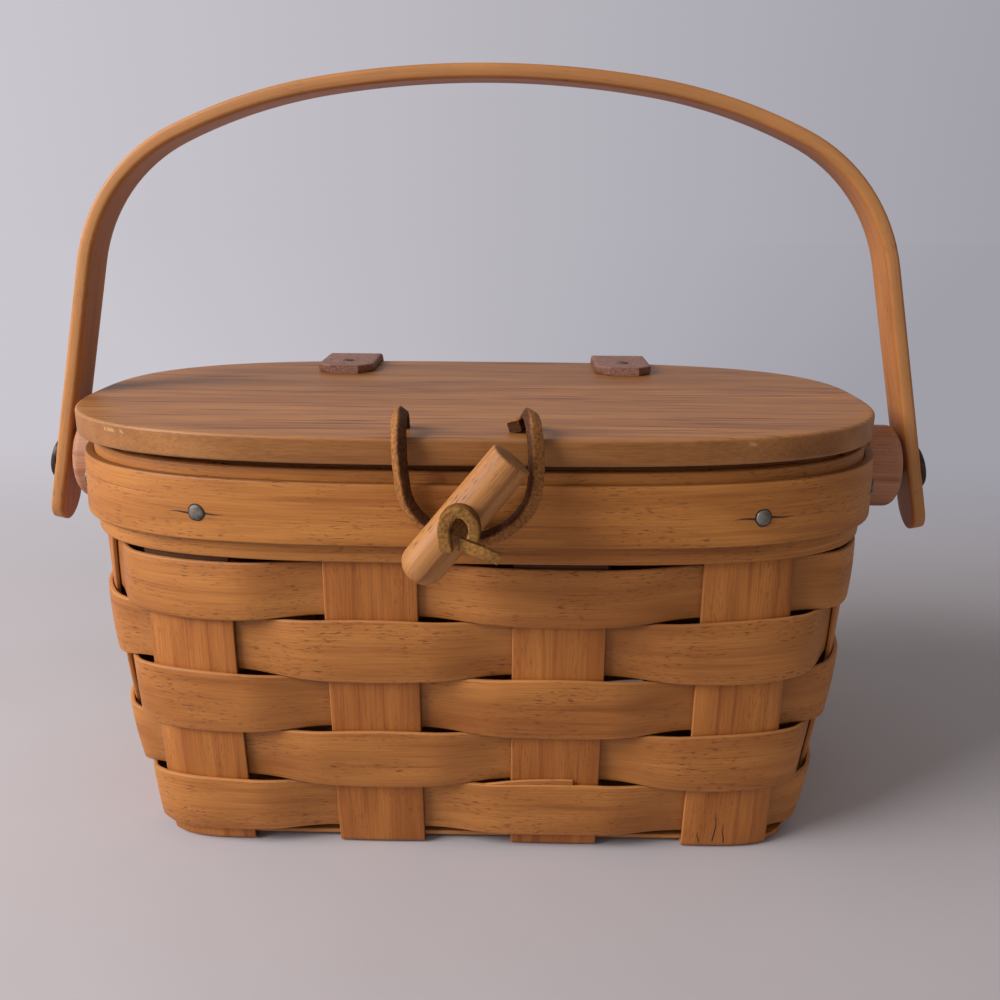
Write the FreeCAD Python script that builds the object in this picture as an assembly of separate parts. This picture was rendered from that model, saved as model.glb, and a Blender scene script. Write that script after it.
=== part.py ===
import FreeCAD, Part
import math
import os

# A small oval splint basket with a swing handle, a leather-hinged wooden lid and
# a peg-and-loop closure. Millimetres, +Z up, -Y to the front, +X to the right.
# The origin is the middle of the base on the floor.

# Outline of the woven wall's middle surface at the floor and at the rim.
# A flatness is the exponent of the oval: along the front and across the ends.
base_half_length = 83.5
base_half_width = 41.6
base_front_flatness = 14.0
base_end_flatness = 5.0
rim_half_length = 96.85
rim_half_width = 49.9
rim_front_flatness = 3.14
rim_end_flatness = 2.85

# The wall curves outward as it rises: 1 is a straight slope, more is a fuller curve
wall_fullness = 2.1

# Upright splints (stakes), four across the base and two along it. The outermost
# ones keep these margins from the ends and sides of the base and of the rim.
stake_width = 22.0
stake_thickness = 1.2
cross_stake_count = 4
cross_stake_shift = -1.5
base_end_margin = 17.5
rim_end_margin = 30.85
base_side_margin = 21.6
rim_side_margin = 29.9

# Splints that only fill the base, between and beside the lengthwise stakes
splint_gap = 1.0

# Weavers: closed rings that pass over and under the stakes in turn
weaver_thickness = 1.2
weaver_height = 14.9
weaver_count = 5
first_row_height = 4.4
row_gap = 0.3
weave_gap = 0.2
weave_margin = 1.5
stations_per_stake = 5
stations_per_gap = 5

# Rim: an inner and an outer band clasp the stakes, a trim strip lies over them
band_thickness = 1.6
band_height = 21.8
band_row_gap = 0.4
inner_band_rise = 1.8
trim_thickness = 2.2
trim_height = 14.7
trim_drop = 2.4
layer_gap = 0.1

# Nails through the rim, at the outer stakes. The front left one is off its stake's middle.
nail_radius = 0.6
nail_head_radius = 1.65
nail_head_height = 0.6
nail_length = 6.0
nail_fit = 0.05
front_left_nail_shift = 6.2

# Lid
lid_thickness = 6.2
lid_overhang = 0.2
lid_edge_round = 0.9
lid_shift = -1.1
lid_seat_gap = 0.1

# Leather hinge straps over the lid's back edge
strap_width = 16.5
strap_thickness = 2.4
strap_spread = 41.5
strap_lid_length = 26.0
strap_drop = 24.0
strap_point = 4.0
strap_gap = 0.25
strap_bend_round = 2.0
strap_tack_inset = 9.0
tack_rise_from_end = 7.0

# Swing handle: outer radii of its crown, shoulders and corners
handle_width = 12.5
handle_thickness = 3.4
handle_rise = 89.2
crown_radius = 261.0
shoulder_radius = 140.0
corner_radius = 47.0
shoulder_end_deg = 25.3
leg_slope_deg = 77.4
leg_gap = 11.3
leg_end_drop = 17.4
handle_shift = 1.6

# Handle pivots: wooden spacer discs, rivets and domed caps, a little below the trim's middle
pivot_drop = 1.0
spacer_radius = 11.0
spacer_gap = 0.3
spacer_seat_gap = 0.3
rivet_radius = 2.0
rivet_fit = 0.08
rivet_head_radius = 4.5
rivet_head_height = 1.2
rivet_head_gap = 0.7
rivet_end_inset = 0.6
cap_radius = 6.0
cap_height = 2.2
cap_edge = 0.8

# Closure: a turned peg on a leather thong, held by a lace loop on the lid
peg_radius = 4.95
peg_length = 34.0
peg_tilt_deg = 51.2
peg_tip_flat = 0.75
peg_end_round = 0.5
peg_stand_off = 4.6
toggle_x = -2.3
toggle_rise = 9.2
thong_radius = 1.5
thong_peg_fit = 0.1
thong_band_fit = 0.3
knot_radius = 3.2
knot_height = 3.0
knot_gap = 0.5
front_knot_radius = 4.2
front_knot_height = 2.2
tail_length = 12.0
tail_width = 3.2
tail_thickness = 1.1
tail_tilt_deg = -42.0
lace_radius = 1.4
lace_hole_fit = 0.5
lace_knot_radius = 2.9
lace_knot_height = 3.2
lace_knot_drop = 0.2

# Route of the lace's middle line, from the left hole in the lid round behind the
# peg to the right hole. The first and last points lie under the lid.
lace_hole_left = (-16.0, -43.0)
lace_hole_right = (12.0, -43.0)
lace_left_hump = (-16.0, -43.0, 113.4)
lace_left_edge = (-15.4, -57.4, 112.7)
lace_hang = [
    (-14.8, -57.2, 99.6),
    (-12.8, -57.0, 94.6),
    (-8.0, -57.0, 90.0),
    (-0.6, -57.0, 87.7),
    (6.0, -57.0, 89.1),
    (11.6, -57.0, 93.6),
    (14.5, -57.2, 99.6),
]
lace_right_edge = (14.0, -57.4, 112.8)
lace_right_hump = (12.0, -43.0, 113.5)
lace_split_height = 105.0
lace_arc_share = 0.45

# Heights that follow from the sizes above
row_pitch = weaver_height + row_gap
band_bottom = first_row_height + weaver_count * row_pitch - row_gap + band_row_gap
band_top = band_bottom + band_height
trim_top = band_top - trim_drop
trim_bottom = trim_top - trim_height
inner_band_top = band_top + inner_band_rise
lid_bottom = inner_band_top + lid_seat_gap
lid_top = lid_bottom + lid_thickness
pivot_height = trim_bottom + trim_height / 2 - pivot_drop
handle_top = band_top + handle_rise
toggle_height = trim_bottom + toggle_rise

# Depths of the rim's layers, measured out from the middle of the stakes
outer_band_in = stake_thickness / 2 + layer_gap
outer_band_out = outer_band_in + band_thickness
trim_in = outer_band_out + layer_gap
trim_out = trim_in + trim_thickness
inner_band_out = -stake_thickness / 2 - layer_gap
inner_band_in = inner_band_out - band_thickness
weave_lift = stake_thickness / 2 + weaver_thickness / 2 + weave_gap

Vector = FreeCAD.Vector
X_AXIS = Vector(1, 0, 0)
Y_AXIS = Vector(0, 1, 0)
Z_AXIS = Vector(0, 0, 1)
join_tolerance = 0.001


def mix(low, high, share):
    """Return the value that lies this share of the way from low to high."""
    return low + (high - low) * share


def wall_outline(z):
    """Return half length, half width and both flatnesses of the wall at height z."""
    share = z / band_top
    bulge = 1 - max(0.0, 1 - share) ** wall_fullness
    front = 1 / mix(1 / base_front_flatness, 1 / rim_front_flatness, share)
    ends = 1 / mix(1 / base_end_flatness, 1 / rim_end_flatness, share)
    half_length = mix(base_half_length, rim_half_length, bulge)
    half_width = mix(base_half_width, rim_half_width, bulge)
    return half_length, half_width, front, ends


def wall_point(angle, z, offset):
    """Return the wall point at a parametric angle, moved out along its level normal."""
    half_length, half_width, front, ends = wall_outline(z)
    cosine = math.cos(angle)
    sine = math.sin(angle)
    x_share = abs(cosine) ** (2 / front)
    y_share = abs(sine) ** (2 / ends)
    normal_x = math.copysign(front / half_length * x_share ** (front - 1), cosine)
    normal_y = math.copysign(ends / half_width * y_share ** (ends - 1), sine)
    reach = offset / math.hypot(normal_x, normal_y)
    x = math.copysign(half_length * x_share, cosine) + normal_x * reach
    y = math.copysign(half_width * y_share, sine) + normal_y * reach
    return Vector(x, y, z)


def wall_angle(side, value, z):
    """Return the parametric angle on a side: at an x on front or back, at a y on an end."""
    half_length, half_width, front, ends = wall_outline(z)
    if side in ("right", "left"):
        turn = math.copysign(math.asin(abs(value / half_width) ** (ends / 2)), value)
        return turn if side == "right" else math.pi - turn
    turn = math.acos(math.copysign(abs(value / half_length) ** (front / 2), value))
    return turn if side == "back" else 2 * math.pi - turn


def wall_normal(angle, z):
    """Return the outward normal of the sloping wall."""
    step = 0.01
    along = wall_point(angle + step, z, 0) - wall_point(angle - step, z, 0)
    up = wall_point(angle, z + step, 0) - wall_point(angle, z - step, 0)
    return along.cross(up).normalize()


# Stake crossings in order round the wall, and the sense in which each side runs
cross_reach = min(base_half_length - base_end_margin, rim_half_length - rim_end_margin)
long_reach = min(base_half_width - base_side_margin, rim_half_width - rim_side_margin)
cross_places = [
    cross_stake_shift + mix(-cross_reach, cross_reach, i / (cross_stake_count - 1))
    for i in range(cross_stake_count)
]
long_places = [-long_reach, long_reach]
crossings = [("right", y) for y in long_places]
crossings += [("back", x) for x in reversed(cross_places)]
crossings += [("left", y) for y in reversed(long_places)]
crossings += [("front", x) for x in cross_places]
side_sense = {"right": 1, "back": -1, "left": -1, "front": 1}


def ring_edges(z, offset, row=None):
    """Return the edges of a line round the wall, in and out of the stakes if a row is given."""
    reach = stake_width / 2 + weave_margin
    angles = []
    lifts = []
    for index, (side, centre) in enumerate(crossings):
        lift = 0.0
        if row is not None:
            lift = weave_lift if (index + row) % 2 == 0 else -weave_lift
        first = centre - side_sense[side] * reach
        last = centre + side_sense[side] * reach
        for step in range(stations_per_stake):
            share = step / (stations_per_stake - 1)
            angles.append(wall_angle(side, mix(first, last, share), z))
            lifts.append(lift)
        next_side, next_centre = crossings[(index + 1) % len(crossings)]
        next_first = next_centre - side_sense[next_side] * reach
        corner_start = angles[-1]
        corner_end = wall_angle(next_side, next_first, z) % (2 * math.pi)
        for step in range(1, stations_per_gap + 1):
            share = step / (stations_per_gap + 1)
            if next_side == side:
                angles.append(wall_angle(side, mix(last, next_first, share), z))
            else:
                angles.append(mix(corner_start, corner_end, share))
            lifts.append(lift * math.cos(math.pi * share))
    points = [wall_point(a, z, offset + h) for a, h in zip(angles, lifts)]
    middle = [wall_point(a, z, 0) for a in angles]
    runs = [p.distanceToPoint(q) for p, q in zip(middle, middle[1:] + middle[:1])]
    steps = [sum(runs[:i]) for i in range(len(runs) + 1)]
    curve = Part.BSplineCurve()
    curve.interpolate(Points=points, PeriodicFlag=True, Parameters=steps)
    spans = steps[::len(runs) // len(crossings)]
    return [curve.toShape(start, end) for start, end in zip(spans, spans[1:])]


def ring(low, high, inside, outside, row=None):
    """Return a closed splint ring between two heights and two depths."""
    lines = [[ring_edges(z, offset, row) for z in (low, high)] for offset in (outside, inside)]
    faces = [Part.makeRuledSurface(*pair) for line in lines for pair in zip(*line)]
    for outer_edges, inner_edges in zip(*lines):
        wires = [Part.Wire(outer_edges), Part.Wire(inner_edges)]
        faces.append(Part.makeFace(wires, "Part::FaceMakerBullseye"))
    shell = Part.makeShell(faces)
    shell.sewShape()
    solid = Part.makeSolid(shell)
    solid.fix(join_tolerance, join_tolerance, join_tolerance)
    return solid


def edge_across(side, centre, width, z, offset):
    """Return the edge of a strip's end where it follows the wall."""
    points = []
    for step in range(stations_per_stake):
        value = centre + width * (step / (stations_per_stake - 1) - 0.5)
        points.append(wall_point(wall_angle(side, value, z), z, offset))
    curve = Part.BSplineCurve()
    curve.interpolate(points)
    return curve.toShape()


def closed_outline(first, second):
    """Return the outline between two edges that run the same way."""
    start = Part.makeLine(second.firstVertex().Point, first.firstVertex().Point)
    end = Part.makeLine(first.lastVertex().Point, second.lastVertex().Point)
    return Part.Wire([first, end, second, start])


def stake_wall(side, centre, foot):
    """Return the part of a stake that stands in the wall."""
    levels = [foot]
    levels += [first_row_height + i * row_pitch for i in range(weaver_count + 1)]
    levels.append(band_top)
    half = stake_thickness / 2
    sections = []
    for z in levels:
        outside = edge_across(side, centre, stake_width, z, half)
        inside = edge_across(side, centre, stake_width, z, -half)
        sections.append(closed_outline(outside, inside))
    return Part.makeLoft(sections, True, True)


def floor_strip(sides, centre, width, foot, reach):
    """Return a flat splint in the base, from wall to wall."""
    ends = [edge_across(side, centre, width, foot, reach) for side in sides]
    outline = closed_outline(ends[0], ends[1])
    return Part.Face(outline).extrude(Z_AXIS * stake_thickness)


def stake(sides, centre, foot):
    """Return a stake: up one wall, along the base and up the other wall."""
    floor = floor_strip(sides, centre, stake_width, foot, stake_thickness / 2)
    walls = [stake_wall(side, centre, foot) for side in sides]
    return floor.fuse(walls).removeSplitter()


def base_splints():
    """Return the three splints that fill the base beside the lengthwise stakes."""
    foot = stake_thickness
    stake_edge = long_reach + stake_width / 2 + splint_gap
    corner = wall_angle("back", cross_places[0] - stake_width / 2, foot)
    wall_edge = wall_point(corner, foot, 0).y - stake_thickness / 2 - layer_gap
    side_width = wall_edge - stake_edge
    side_centre = (wall_edge + stake_edge) / 2
    middle_width = 2 * long_reach - stake_width - 2 * splint_gap
    ends = ("left", "right")
    return {
        "base_splint_front": floor_strip(ends, -side_centre, side_width, foot, 0),
        "base_splint_middle": floor_strip(ends, 0.0, middle_width, foot, 0),
        "base_splint_back": floor_strip(ends, side_centre, side_width, foot, 0),
    }


def domed_head(radius, height, rounding, base, direction):
    """Return a low round head with a rounded rim, standing on base along direction."""
    head = Part.makeCylinder(radius, height)
    top = [e for e in head.Edges if e.BoundBox.ZMin > height / 2]
    head = head.makeFillet(rounding, top)
    head.Placement = FreeCAD.Placement(base, FreeCAD.Rotation(Z_AXIS, direction))
    return head


def headed_pin(base, direction, length, head_radius, head_height):
    """Return a nail whose head sits on base and whose shank runs inward."""
    shank = Part.makeCylinder(nail_radius, length, base, direction * -1)
    head = domed_head(head_radius, head_height, head_height / 2, base, direction)
    return head.fuse(shank)


def drill_for_pin(base, direction):
    """Return the drill that clears a nail's shank."""
    start = base - direction * nail_length
    return Part.makeCylinder(nail_radius + nail_fit, 2 * nail_length, start, direction)


def band_nails():
    """Return the rim's nails and the drills for their holes."""
    seats = [(side, cross_places[i]) for side in ("front", "back") for i in (0, -1)]
    seats[0] = ("front", cross_places[0] + front_left_nail_shift)
    seats += [(side, y) for side in ("left", "right") for y in long_places]
    nails = []
    drills = []
    for side, value in seats:
        angle = wall_angle(side, value, pivot_height)
        direction = wall_normal(angle, pivot_height)
        base = wall_point(angle, pivot_height, 0) + direction * (trim_out + layer_gap)
        nails.append(headed_pin(base, direction, nail_length, nail_head_radius, nail_head_height))
        drills.append(drill_for_pin(base, direction))
    return nails, drills


def lid_board():
    """Return the lid without its holes."""
    outline = Part.Wire(ring_edges(trim_top, trim_out + lid_overhang))
    outline.translate(Vector(lid_shift, 0, lid_bottom - trim_top))
    board = Part.Face(outline).extrude(Z_AXIS * lid_thickness)
    rims = [e for e in board.Edges if e.BoundBox.ZLength < lid_thickness / 2]
    return board.makeFillet(lid_edge_round, rims)


def strap_line(x):
    """Return the y of a strap's inner face at the lid's edge and at its lower end."""
    near = math.copysign(abs(x) - strap_width / 2, x)
    lid_angle = wall_angle("back", near - lid_shift, trim_top)
    lid_edge = wall_point(lid_angle, trim_top, trim_out + lid_overhang).y
    low = lid_top - strap_drop
    rim = wall_point(wall_angle("back", near, low), low, trim_out).y
    return lid_edge + strap_gap, rim + strap_gap


def strap_profile(x):
    """Return a strap's side outline: along the lid, round its back edge and down the rim."""
    back_in, low_in = strap_line(x)
    back_out = back_in + strap_thickness
    low_out = low_in + strap_thickness
    low = lid_top - strap_drop
    under = lid_top + layer_gap
    over = under + strap_thickness
    front = lid_back - strap_lid_length
    bend = strap_bend_round
    bend_middle = bend * (1 - math.sqrt(0.5))

    def at(y, z):
        return Vector(x - strap_width / 2, y, z)

    down = [at(back_in, under), at(back_in, trim_top), at(low_in, low)]
    up = [at(low_out, low), at(back_out, trim_top), at(back_out, over - bend)]
    lying = [at(back_out - bend, over), at(front, over), at(front, under)]
    corner = Part.Arc(up[-1], at(back_out - bend_middle, over - bend_middle), lying[0]).toShape()
    edges = Part.makePolygon(lying + down + up).Edges
    return Part.Wire(edges + [corner])


def hinge_strap(x):
    """Return one leather strap with the front corners of its lid end cut off."""
    strap = Part.Face(strap_profile(x)).extrude(X_AXIS * strap_width)
    for side in (-1, 1):
        corner = Vector(x + side * strap_width / 2, lid_back - strap_lid_length, lid_bottom)
        clip = [
            corner,
            corner + Vector(-side * strap_point, 0, 0),
            corner + Vector(0, strap_point, 0),
        ]
        height = lid_thickness + layer_gap + 2 * strap_thickness
        prism = Part.Face(Part.makePolygon(clip + clip[:1])).extrude(Z_AXIS * height)
        strap = strap.cut(prism)
    return strap


def strap_tacks(x):
    """Return a strap's lid tack and rim tack, each as its base and direction."""
    lid_y = lid_back - strap_lid_length + strap_tack_inset
    lid_base = Vector(x, lid_y, lid_top + strap_thickness + 2 * layer_gap)
    back_in, low_in = strap_line(x)
    low = lid_top - strap_drop
    direction = Vector(0, trim_top - low, low_in - back_in).normalize()
    height = low + tack_rise_from_end
    y = mix(low_in, back_in, tack_rise_from_end / (trim_top - low)) + strap_thickness
    rim_base = Vector(x, y, height) + direction * layer_gap
    return (lid_base, Z_AXIS), (rim_base, direction)


def handle_frame():
    """Return the pivot's outer x, the arc centres, radii and end angles of the bow."""
    slope = math.radians(leg_slope_deg)
    shoulder_end = math.radians(shoulder_end_deg)
    lean = 1 / math.tan(slope)
    rim_x = wall_point(0.0, pivot_height, trim_out).x
    pivot_x = rim_x + leg_gap + handle_thickness / math.sin(slope)
    spread = shoulder_radius * math.sin(shoulder_end)
    spread += corner_radius * (math.sin(slope) - math.sin(shoulder_end))
    rise = handle_top - crown_radius + shoulder_radius * math.cos(shoulder_end)
    rise -= corner_radius * (math.cos(shoulder_end) - math.cos(slope))
    reach = pivot_x - spread - lean * (rise - pivot_height)
    step = (crown_radius - shoulder_radius) * math.hypot(1, lean)
    crown_end = math.asin(reach / step) - math.atan(lean)
    radii = [crown_radius, shoulder_radius, corner_radius]
    ends = [crown_end, shoulder_end, slope]
    centres = [(0.0, handle_top - crown_radius)]
    for i in range(2):
        gap = radii[i] - radii[i + 1]
        x, z = centres[-1]
        centres.append((x + gap * math.sin(ends[i]), z + gap * math.cos(ends[i])))
    return pivot_x, centres, radii, ends


def bow_edges(inset):
    """Return the bow's edges from the left leg over the crown to the right leg."""
    starts = [-bow_ends[0]] + bow_ends[:2]
    right = []
    for (x, z), outer_radius, start, end in zip(bow_centres, bow_radii, starts, bow_ends):
        radius = outer_radius - inset
        angles = (start, (start + end) / 2, end)
        right.append([(x + radius * math.sin(a), z + radius * math.cos(a)) for a in angles])
    left = [[(-x, z) for x, z in reversed(arc)] for arc in reversed(right[1:])]
    return [
        Part.Arc(*[Vector(x, -handle_width / 2, z) for x, z in arc]).toShape()
        for arc in left + right
    ]


def handle_leg(side):
    """Return one straight leg with its half-round end."""
    slope = math.radians(leg_slope_deg)
    x, z = bow_centres[-1]
    top_x = x + corner_radius * math.sin(slope)
    top = Vector(side * top_x, 0, z + corner_radius * math.cos(slope))
    down = Vector(side * math.cos(slope), 0, -math.sin(slope))
    inward = Vector(-side * math.sin(slope), 0, -math.cos(slope))
    half = handle_width / 2
    straight = (top.z - pivot_height) / math.sin(slope) + leg_end_drop - half
    near = top - Y_AXIS * half
    far = top + Y_AXIS * half
    near_end = near + down * straight
    far_end = far + down * straight
    outline = Part.Wire([
        Part.makeLine(far, near),
        Part.makeLine(near, near_end),
        Part.Arc(near_end, top + down * (straight + half), far_end).toShape(),
        Part.makeLine(far_end, far),
    ])
    return Part.Face(outline).extrude(inward * handle_thickness)


def rivet_drill():
    """Return the drill along the handle's pivot axis."""
    reach = 2 * rim_half_length
    start = Vector(-reach, 0, pivot_height)
    return Part.makeCylinder(rivet_radius + rivet_fit, 2 * reach, start, X_AXIS)


def handle_bow():
    """Return the bent handle strip with its pivot holes."""
    outer = bow_edges(0.0)
    inner = bow_edges(handle_thickness)
    left = Part.makeLine(inner[0].firstVertex().Point, outer[0].firstVertex().Point)
    right = Part.makeLine(outer[-1].lastVertex().Point, inner[-1].lastVertex().Point)
    outline = Part.Wire(Part.__sortEdges__(outer + [right] + inner + [left]))
    bow = Part.Face(outline).extrude(Y_AXIS * handle_width)
    bow = bow.fuse([handle_leg(-1), handle_leg(1)]).removeSplitter()
    bow = bow.cut(rivet_drill())
    bow.translate(X_AXIS * handle_shift)
    return bow


def handle_spacer(side):
    """Return the wooden disc between the rim and one leg."""
    slope = math.radians(leg_slope_deg)
    leg_in = pivot_x - handle_thickness / math.sin(slope) + side * handle_shift
    outer_x = leg_in - spacer_radius / math.tan(slope) - spacer_gap
    top = min(trim_top, pivot_height + spacer_radius)
    inner_x = wall_point(0.0, top, trim_out).x + spacer_seat_gap
    seat = Vector(side * inner_x, 0, pivot_height)
    disc = Part.makeCylinder(spacer_radius, outer_x - inner_x, seat, X_AXIS * side)
    return disc.cut(rivet_drill())


def pivot_rivet(side):
    """Return the rivet from inside the rim to inside one leg's cap."""
    inner_x = wall_point(0.0, pivot_height, inner_band_in).x - rivet_head_gap
    outer_x = pivot_x - rivet_end_inset + side * handle_shift
    base = Vector(side * inner_x, 0, pivot_height)
    shank = Part.makeCylinder(rivet_radius, outer_x - inner_x, base, X_AXIS * side)
    rounding = rivet_head_height / 2
    head = domed_head(rivet_head_radius, rivet_head_height, rounding, base, X_AXIS * -side)
    return shank.fuse(head)


def rivet_cap(side):
    """Return the domed cap on the outer face of one leg."""
    slope = math.radians(leg_slope_deg)
    outward = Vector(side * math.sin(slope), 0, math.cos(slope))
    base = Vector(side * pivot_x + handle_shift, 0, pivot_height)
    return domed_head(cap_radius, cap_height, cap_height - cap_edge, base, outward)


def peg_depth():
    """Return the y of the peg's middle line, with room for the lace behind it."""
    angle = wall_angle("front", toggle_x, toggle_height)
    return wall_point(angle, toggle_height, trim_out).y - peg_stand_off - peg_radius


def toggle_peg():
    """Return the turned peg, blunt above and rounded below, with its thong hole."""
    peg = Part.makeCylinder(peg_radius, peg_length, Vector(0, 0, -peg_length / 2), Z_AXIS)
    tip = [e for e in peg.Edges if e.BoundBox.ZMax < 0]
    peg = peg.makeFillet(peg_radius - peg_tip_flat, tip)
    end = [e for e in peg.Edges if e.BoundBox.ZMin > 0]
    peg = peg.makeFillet(peg_end_round, end)
    peg.rotate(Vector(0, 0, 0), Y_AXIS, 90 - peg_tilt_deg)
    middle = Vector(toggle_x, peg_depth(), toggle_height)
    peg.translate(middle)
    start = middle - Y_AXIS * 2 * peg_radius
    return peg.cut(Part.makeCylinder(thong_radius + thong_peg_fit, 4 * peg_radius, start, Y_AXIS))


def toggle_thong():
    """Return the thong: knot inside the rim, stem through rim and peg, knot and tail in front."""
    rim_angle = wall_angle("front", toggle_x, toggle_height)
    inside = wall_point(rim_angle, toggle_height, inner_band_in).y + knot_gap
    front = peg_depth() - peg_radius - layer_gap
    back_seat = Vector(toggle_x, inside, toggle_height)
    front_seat = Vector(toggle_x, front, toggle_height)
    stem = Part.makeCylinder(thong_radius, inside - front, front_seat, Y_AXIS)
    back_knot = domed_head(knot_radius, knot_height, knot_height / 3, back_seat, Y_AXIS)
    rounding = front_knot_height / 3
    front_knot = domed_head(front_knot_radius, front_knot_height, rounding, front_seat, Y_AXIS * -1)
    tail_corner = Vector(0, -front_knot_height + rounding, -tail_width / 2)
    tail = Part.makeBox(tail_length, tail_thickness, tail_width, tail_corner)
    tail.rotate(Vector(0, 0, 0), Y_AXIS, -tail_tilt_deg)
    tail.translate(front_seat)
    return stem.fuse([back_knot, front_knot, tail])


def thong_drill():
    """Return the drill for the thong's hole in the rim."""
    start = Vector(toggle_x, peg_depth(), toggle_height)
    return Part.makeCylinder(thong_radius + thong_band_fit, -start.y, start, Y_AXIS)


def cord_path(points, name):
    """Return straight runs joined by tangent arcs, and print the arcs' radii."""
    points = [Vector(*p) for p in points]
    edges = []
    radii = []
    start = points[0]
    for before, corner, after in zip(points, points[1:], points[2:]):
        back = before - corner
        ahead = after - corner
        tangent = lace_arc_share * min(back.Length, ahead.Length)
        half_turn = (math.pi - back.getAngle(ahead)) / 2
        radius = tangent / math.tan(half_turn)
        radii.append(round(radius, 1))
        enter = corner + back.normalize() * tangent
        leave = corner + ahead.normalize() * tangent
        inward = (back + ahead).normalize()
        middle = corner + inward * (radius / math.cos(half_turn) - radius)
        edges.append(Part.LineSegment(start, enter).toShape())
        edges.append(Part.Arc(enter, middle, leave).toShape())
        start = leave
    edges.append(Part.LineSegment(start, points[-1]).toShape())
    path = Part.Wire(edges)
    print(name, "length", round(path.Length, 1), "radii", radii)
    return path


def cord_tube(points, name):
    """Return a round lace along a route, and print how its volume compares."""
    path = cord_path(points, name)
    first = Vector(*points[1]) - Vector(*points[0])
    section = Part.Wire(Part.makeCircle(lace_radius, Vector(*points[0]), first))
    tube = path.makePipeShell([section], True, False)
    share = tube.Volume / (math.pi * lace_radius ** 2 * path.Length)
    print(name, "volume over section times length", round(share, 4))
    return tube


def split_point(upper, lower):
    """Return the point at the split height on the run between two route points."""
    share = (upper[2] - lace_split_height) / (upper[2] - lower[2])
    return tuple(mix(u, v, share) for u, v in zip(upper, lower))


def lace_pieces():
    """Return the lace's two ends on the lid and its hanging loop."""
    foot = lid_bottom - lace_knot_drop
    left_split = split_point(lace_left_edge, lace_hang[0])
    right_split = split_point(lace_right_edge, lace_hang[-1])
    left = [lace_hole_left + (foot,), lace_left_hump, lace_left_edge, left_split]
    right = [lace_hole_right + (foot,), lace_right_hump, lace_right_edge, right_split]
    ends = [cord_tube(left, "left lace end"), cord_tube(right, "right lace end")]
    loop = cord_tube([left_split] + lace_hang + [right_split], "lace loop")
    knots = [lace_knot(x, y, foot) for x, y in (lace_hole_left, lace_hole_right)]
    return ends, loop, knots


def lace_knot(x, y, z):
    """Return the knot that holds one end of the lace under the lid."""
    rounding = lace_knot_height / 3
    return domed_head(lace_knot_radius, lace_knot_height, rounding, Vector(x, y, z), Z_AXIS * -1)


def lace_drill(x, y):
    """Return the drill for one of the lace's holes in the lid."""
    start = Vector(x, y, lid_bottom - lid_thickness)
    return Part.makeCylinder(lace_radius + lace_hole_fit, 3 * lid_thickness, start, Z_AXIS)


lid_back = wall_point(math.pi / 2, trim_top, trim_out + lid_overhang).y
pivot_x, bow_centres, bow_radii, bow_ends = handle_frame()
parts = {}

# Woven body
for number, place in enumerate(cross_places, 1):
    parts[f"cross_stake_{number}"] = stake(("front", "back"), place, 0.0)
for number, place in enumerate(long_places, 1):
    parts[f"long_stake_{number}"] = stake(("left", "right"), place, stake_thickness)
parts.update(base_splints())
for row in range(weaver_count):
    low = first_row_height + row * row_pitch
    half = weaver_thickness / 2
    parts[f"weaver_{row + 1}"] = ring(low, low + weaver_height, -half, half, row)

# Rim
parts["inner_band"] = ring(band_bottom, inner_band_top, inner_band_in, inner_band_out)
parts["outer_band"] = ring(band_bottom, band_top, outer_band_in, outer_band_out)
parts["trim_strip"] = ring(trim_bottom, trim_top, trim_in, trim_out)
nails, nail_drills = band_nails()
parts["band_nails"] = Part.makeCompound(nails)

# Lid and its leather hinge
board = lid_board()
lid_pins = []
rim_pins = []
rim_drills = []
for name, x in (("left", -strap_spread), ("right", strap_spread)):
    strap = hinge_strap(x)
    lid_tack, rim_tack = strap_tacks(x)
    lid_pins.append(headed_pin(*lid_tack, nail_length, nail_head_radius, nail_head_height))
    rim_pins.append(headed_pin(*rim_tack, nail_length, nail_head_radius, nail_head_height))
    rim_drills.append(drill_for_pin(*rim_tack))
    strap = strap.cut([drill_for_pin(*lid_tack), drill_for_pin(*rim_tack)])
    board = board.cut(drill_for_pin(*lid_tack))
    parts[f"hinge_strap_{name}"] = strap
parts["lid_board"] = board.cut([lace_drill(*lace_hole_left), lace_drill(*lace_hole_right)])
parts["lid_tacks"] = Part.makeCompound(lid_pins)
parts["rim_tacks"] = Part.makeCompound(rim_pins)

# Handle
parts["handle_bow"] = handle_bow()
for name, side in (("left", -1), ("right", 1)):
    parts[f"handle_spacer_{name}"] = handle_spacer(side)
    parts[f"pivot_rivet_{name}"] = pivot_rivet(side)
    parts[f"rivet_cap_{name}"] = rivet_cap(side)

# Closure
parts["toggle_peg"] = toggle_peg()
parts["toggle_thong"] = toggle_thong()
lace_ends, lace_loop, lace_knots = lace_pieces()
parts["lid_lace_ends"] = Part.makeCompound(lace_ends)
parts["lid_lace_loop"] = lace_loop
parts["lace_knots"] = Part.makeCompound(lace_knots)

# Holes through the rim and the stakes for nails, tacks, rivets and thong
for name in ("inner_band", "outer_band", "trim_strip"):
    parts[name] = parts[name].cut(nail_drills + rim_drills + [rivet_drill(), thong_drill()])
for name in [n for n in parts if n.startswith(("cross_stake", "long_stake"))]:
    parts[name] = parts[name].cut(nail_drills + rim_drills)

os.makedirs("parts", exist_ok=True)
for name, shape in parts.items():
    shape.exportStep(f"parts/{name}.step")
    print(f"{name}: {len(shape.Solids)} solids, {shape.Volume:.1f} mm3, valid {shape.isValid()}")
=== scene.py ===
import random
from math import acos, asin, atan, copysign, cos, floor, hypot, pi, radians, sin, tan

import bmesh
import bpy
from mathutils import Matrix, Vector, noise


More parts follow.
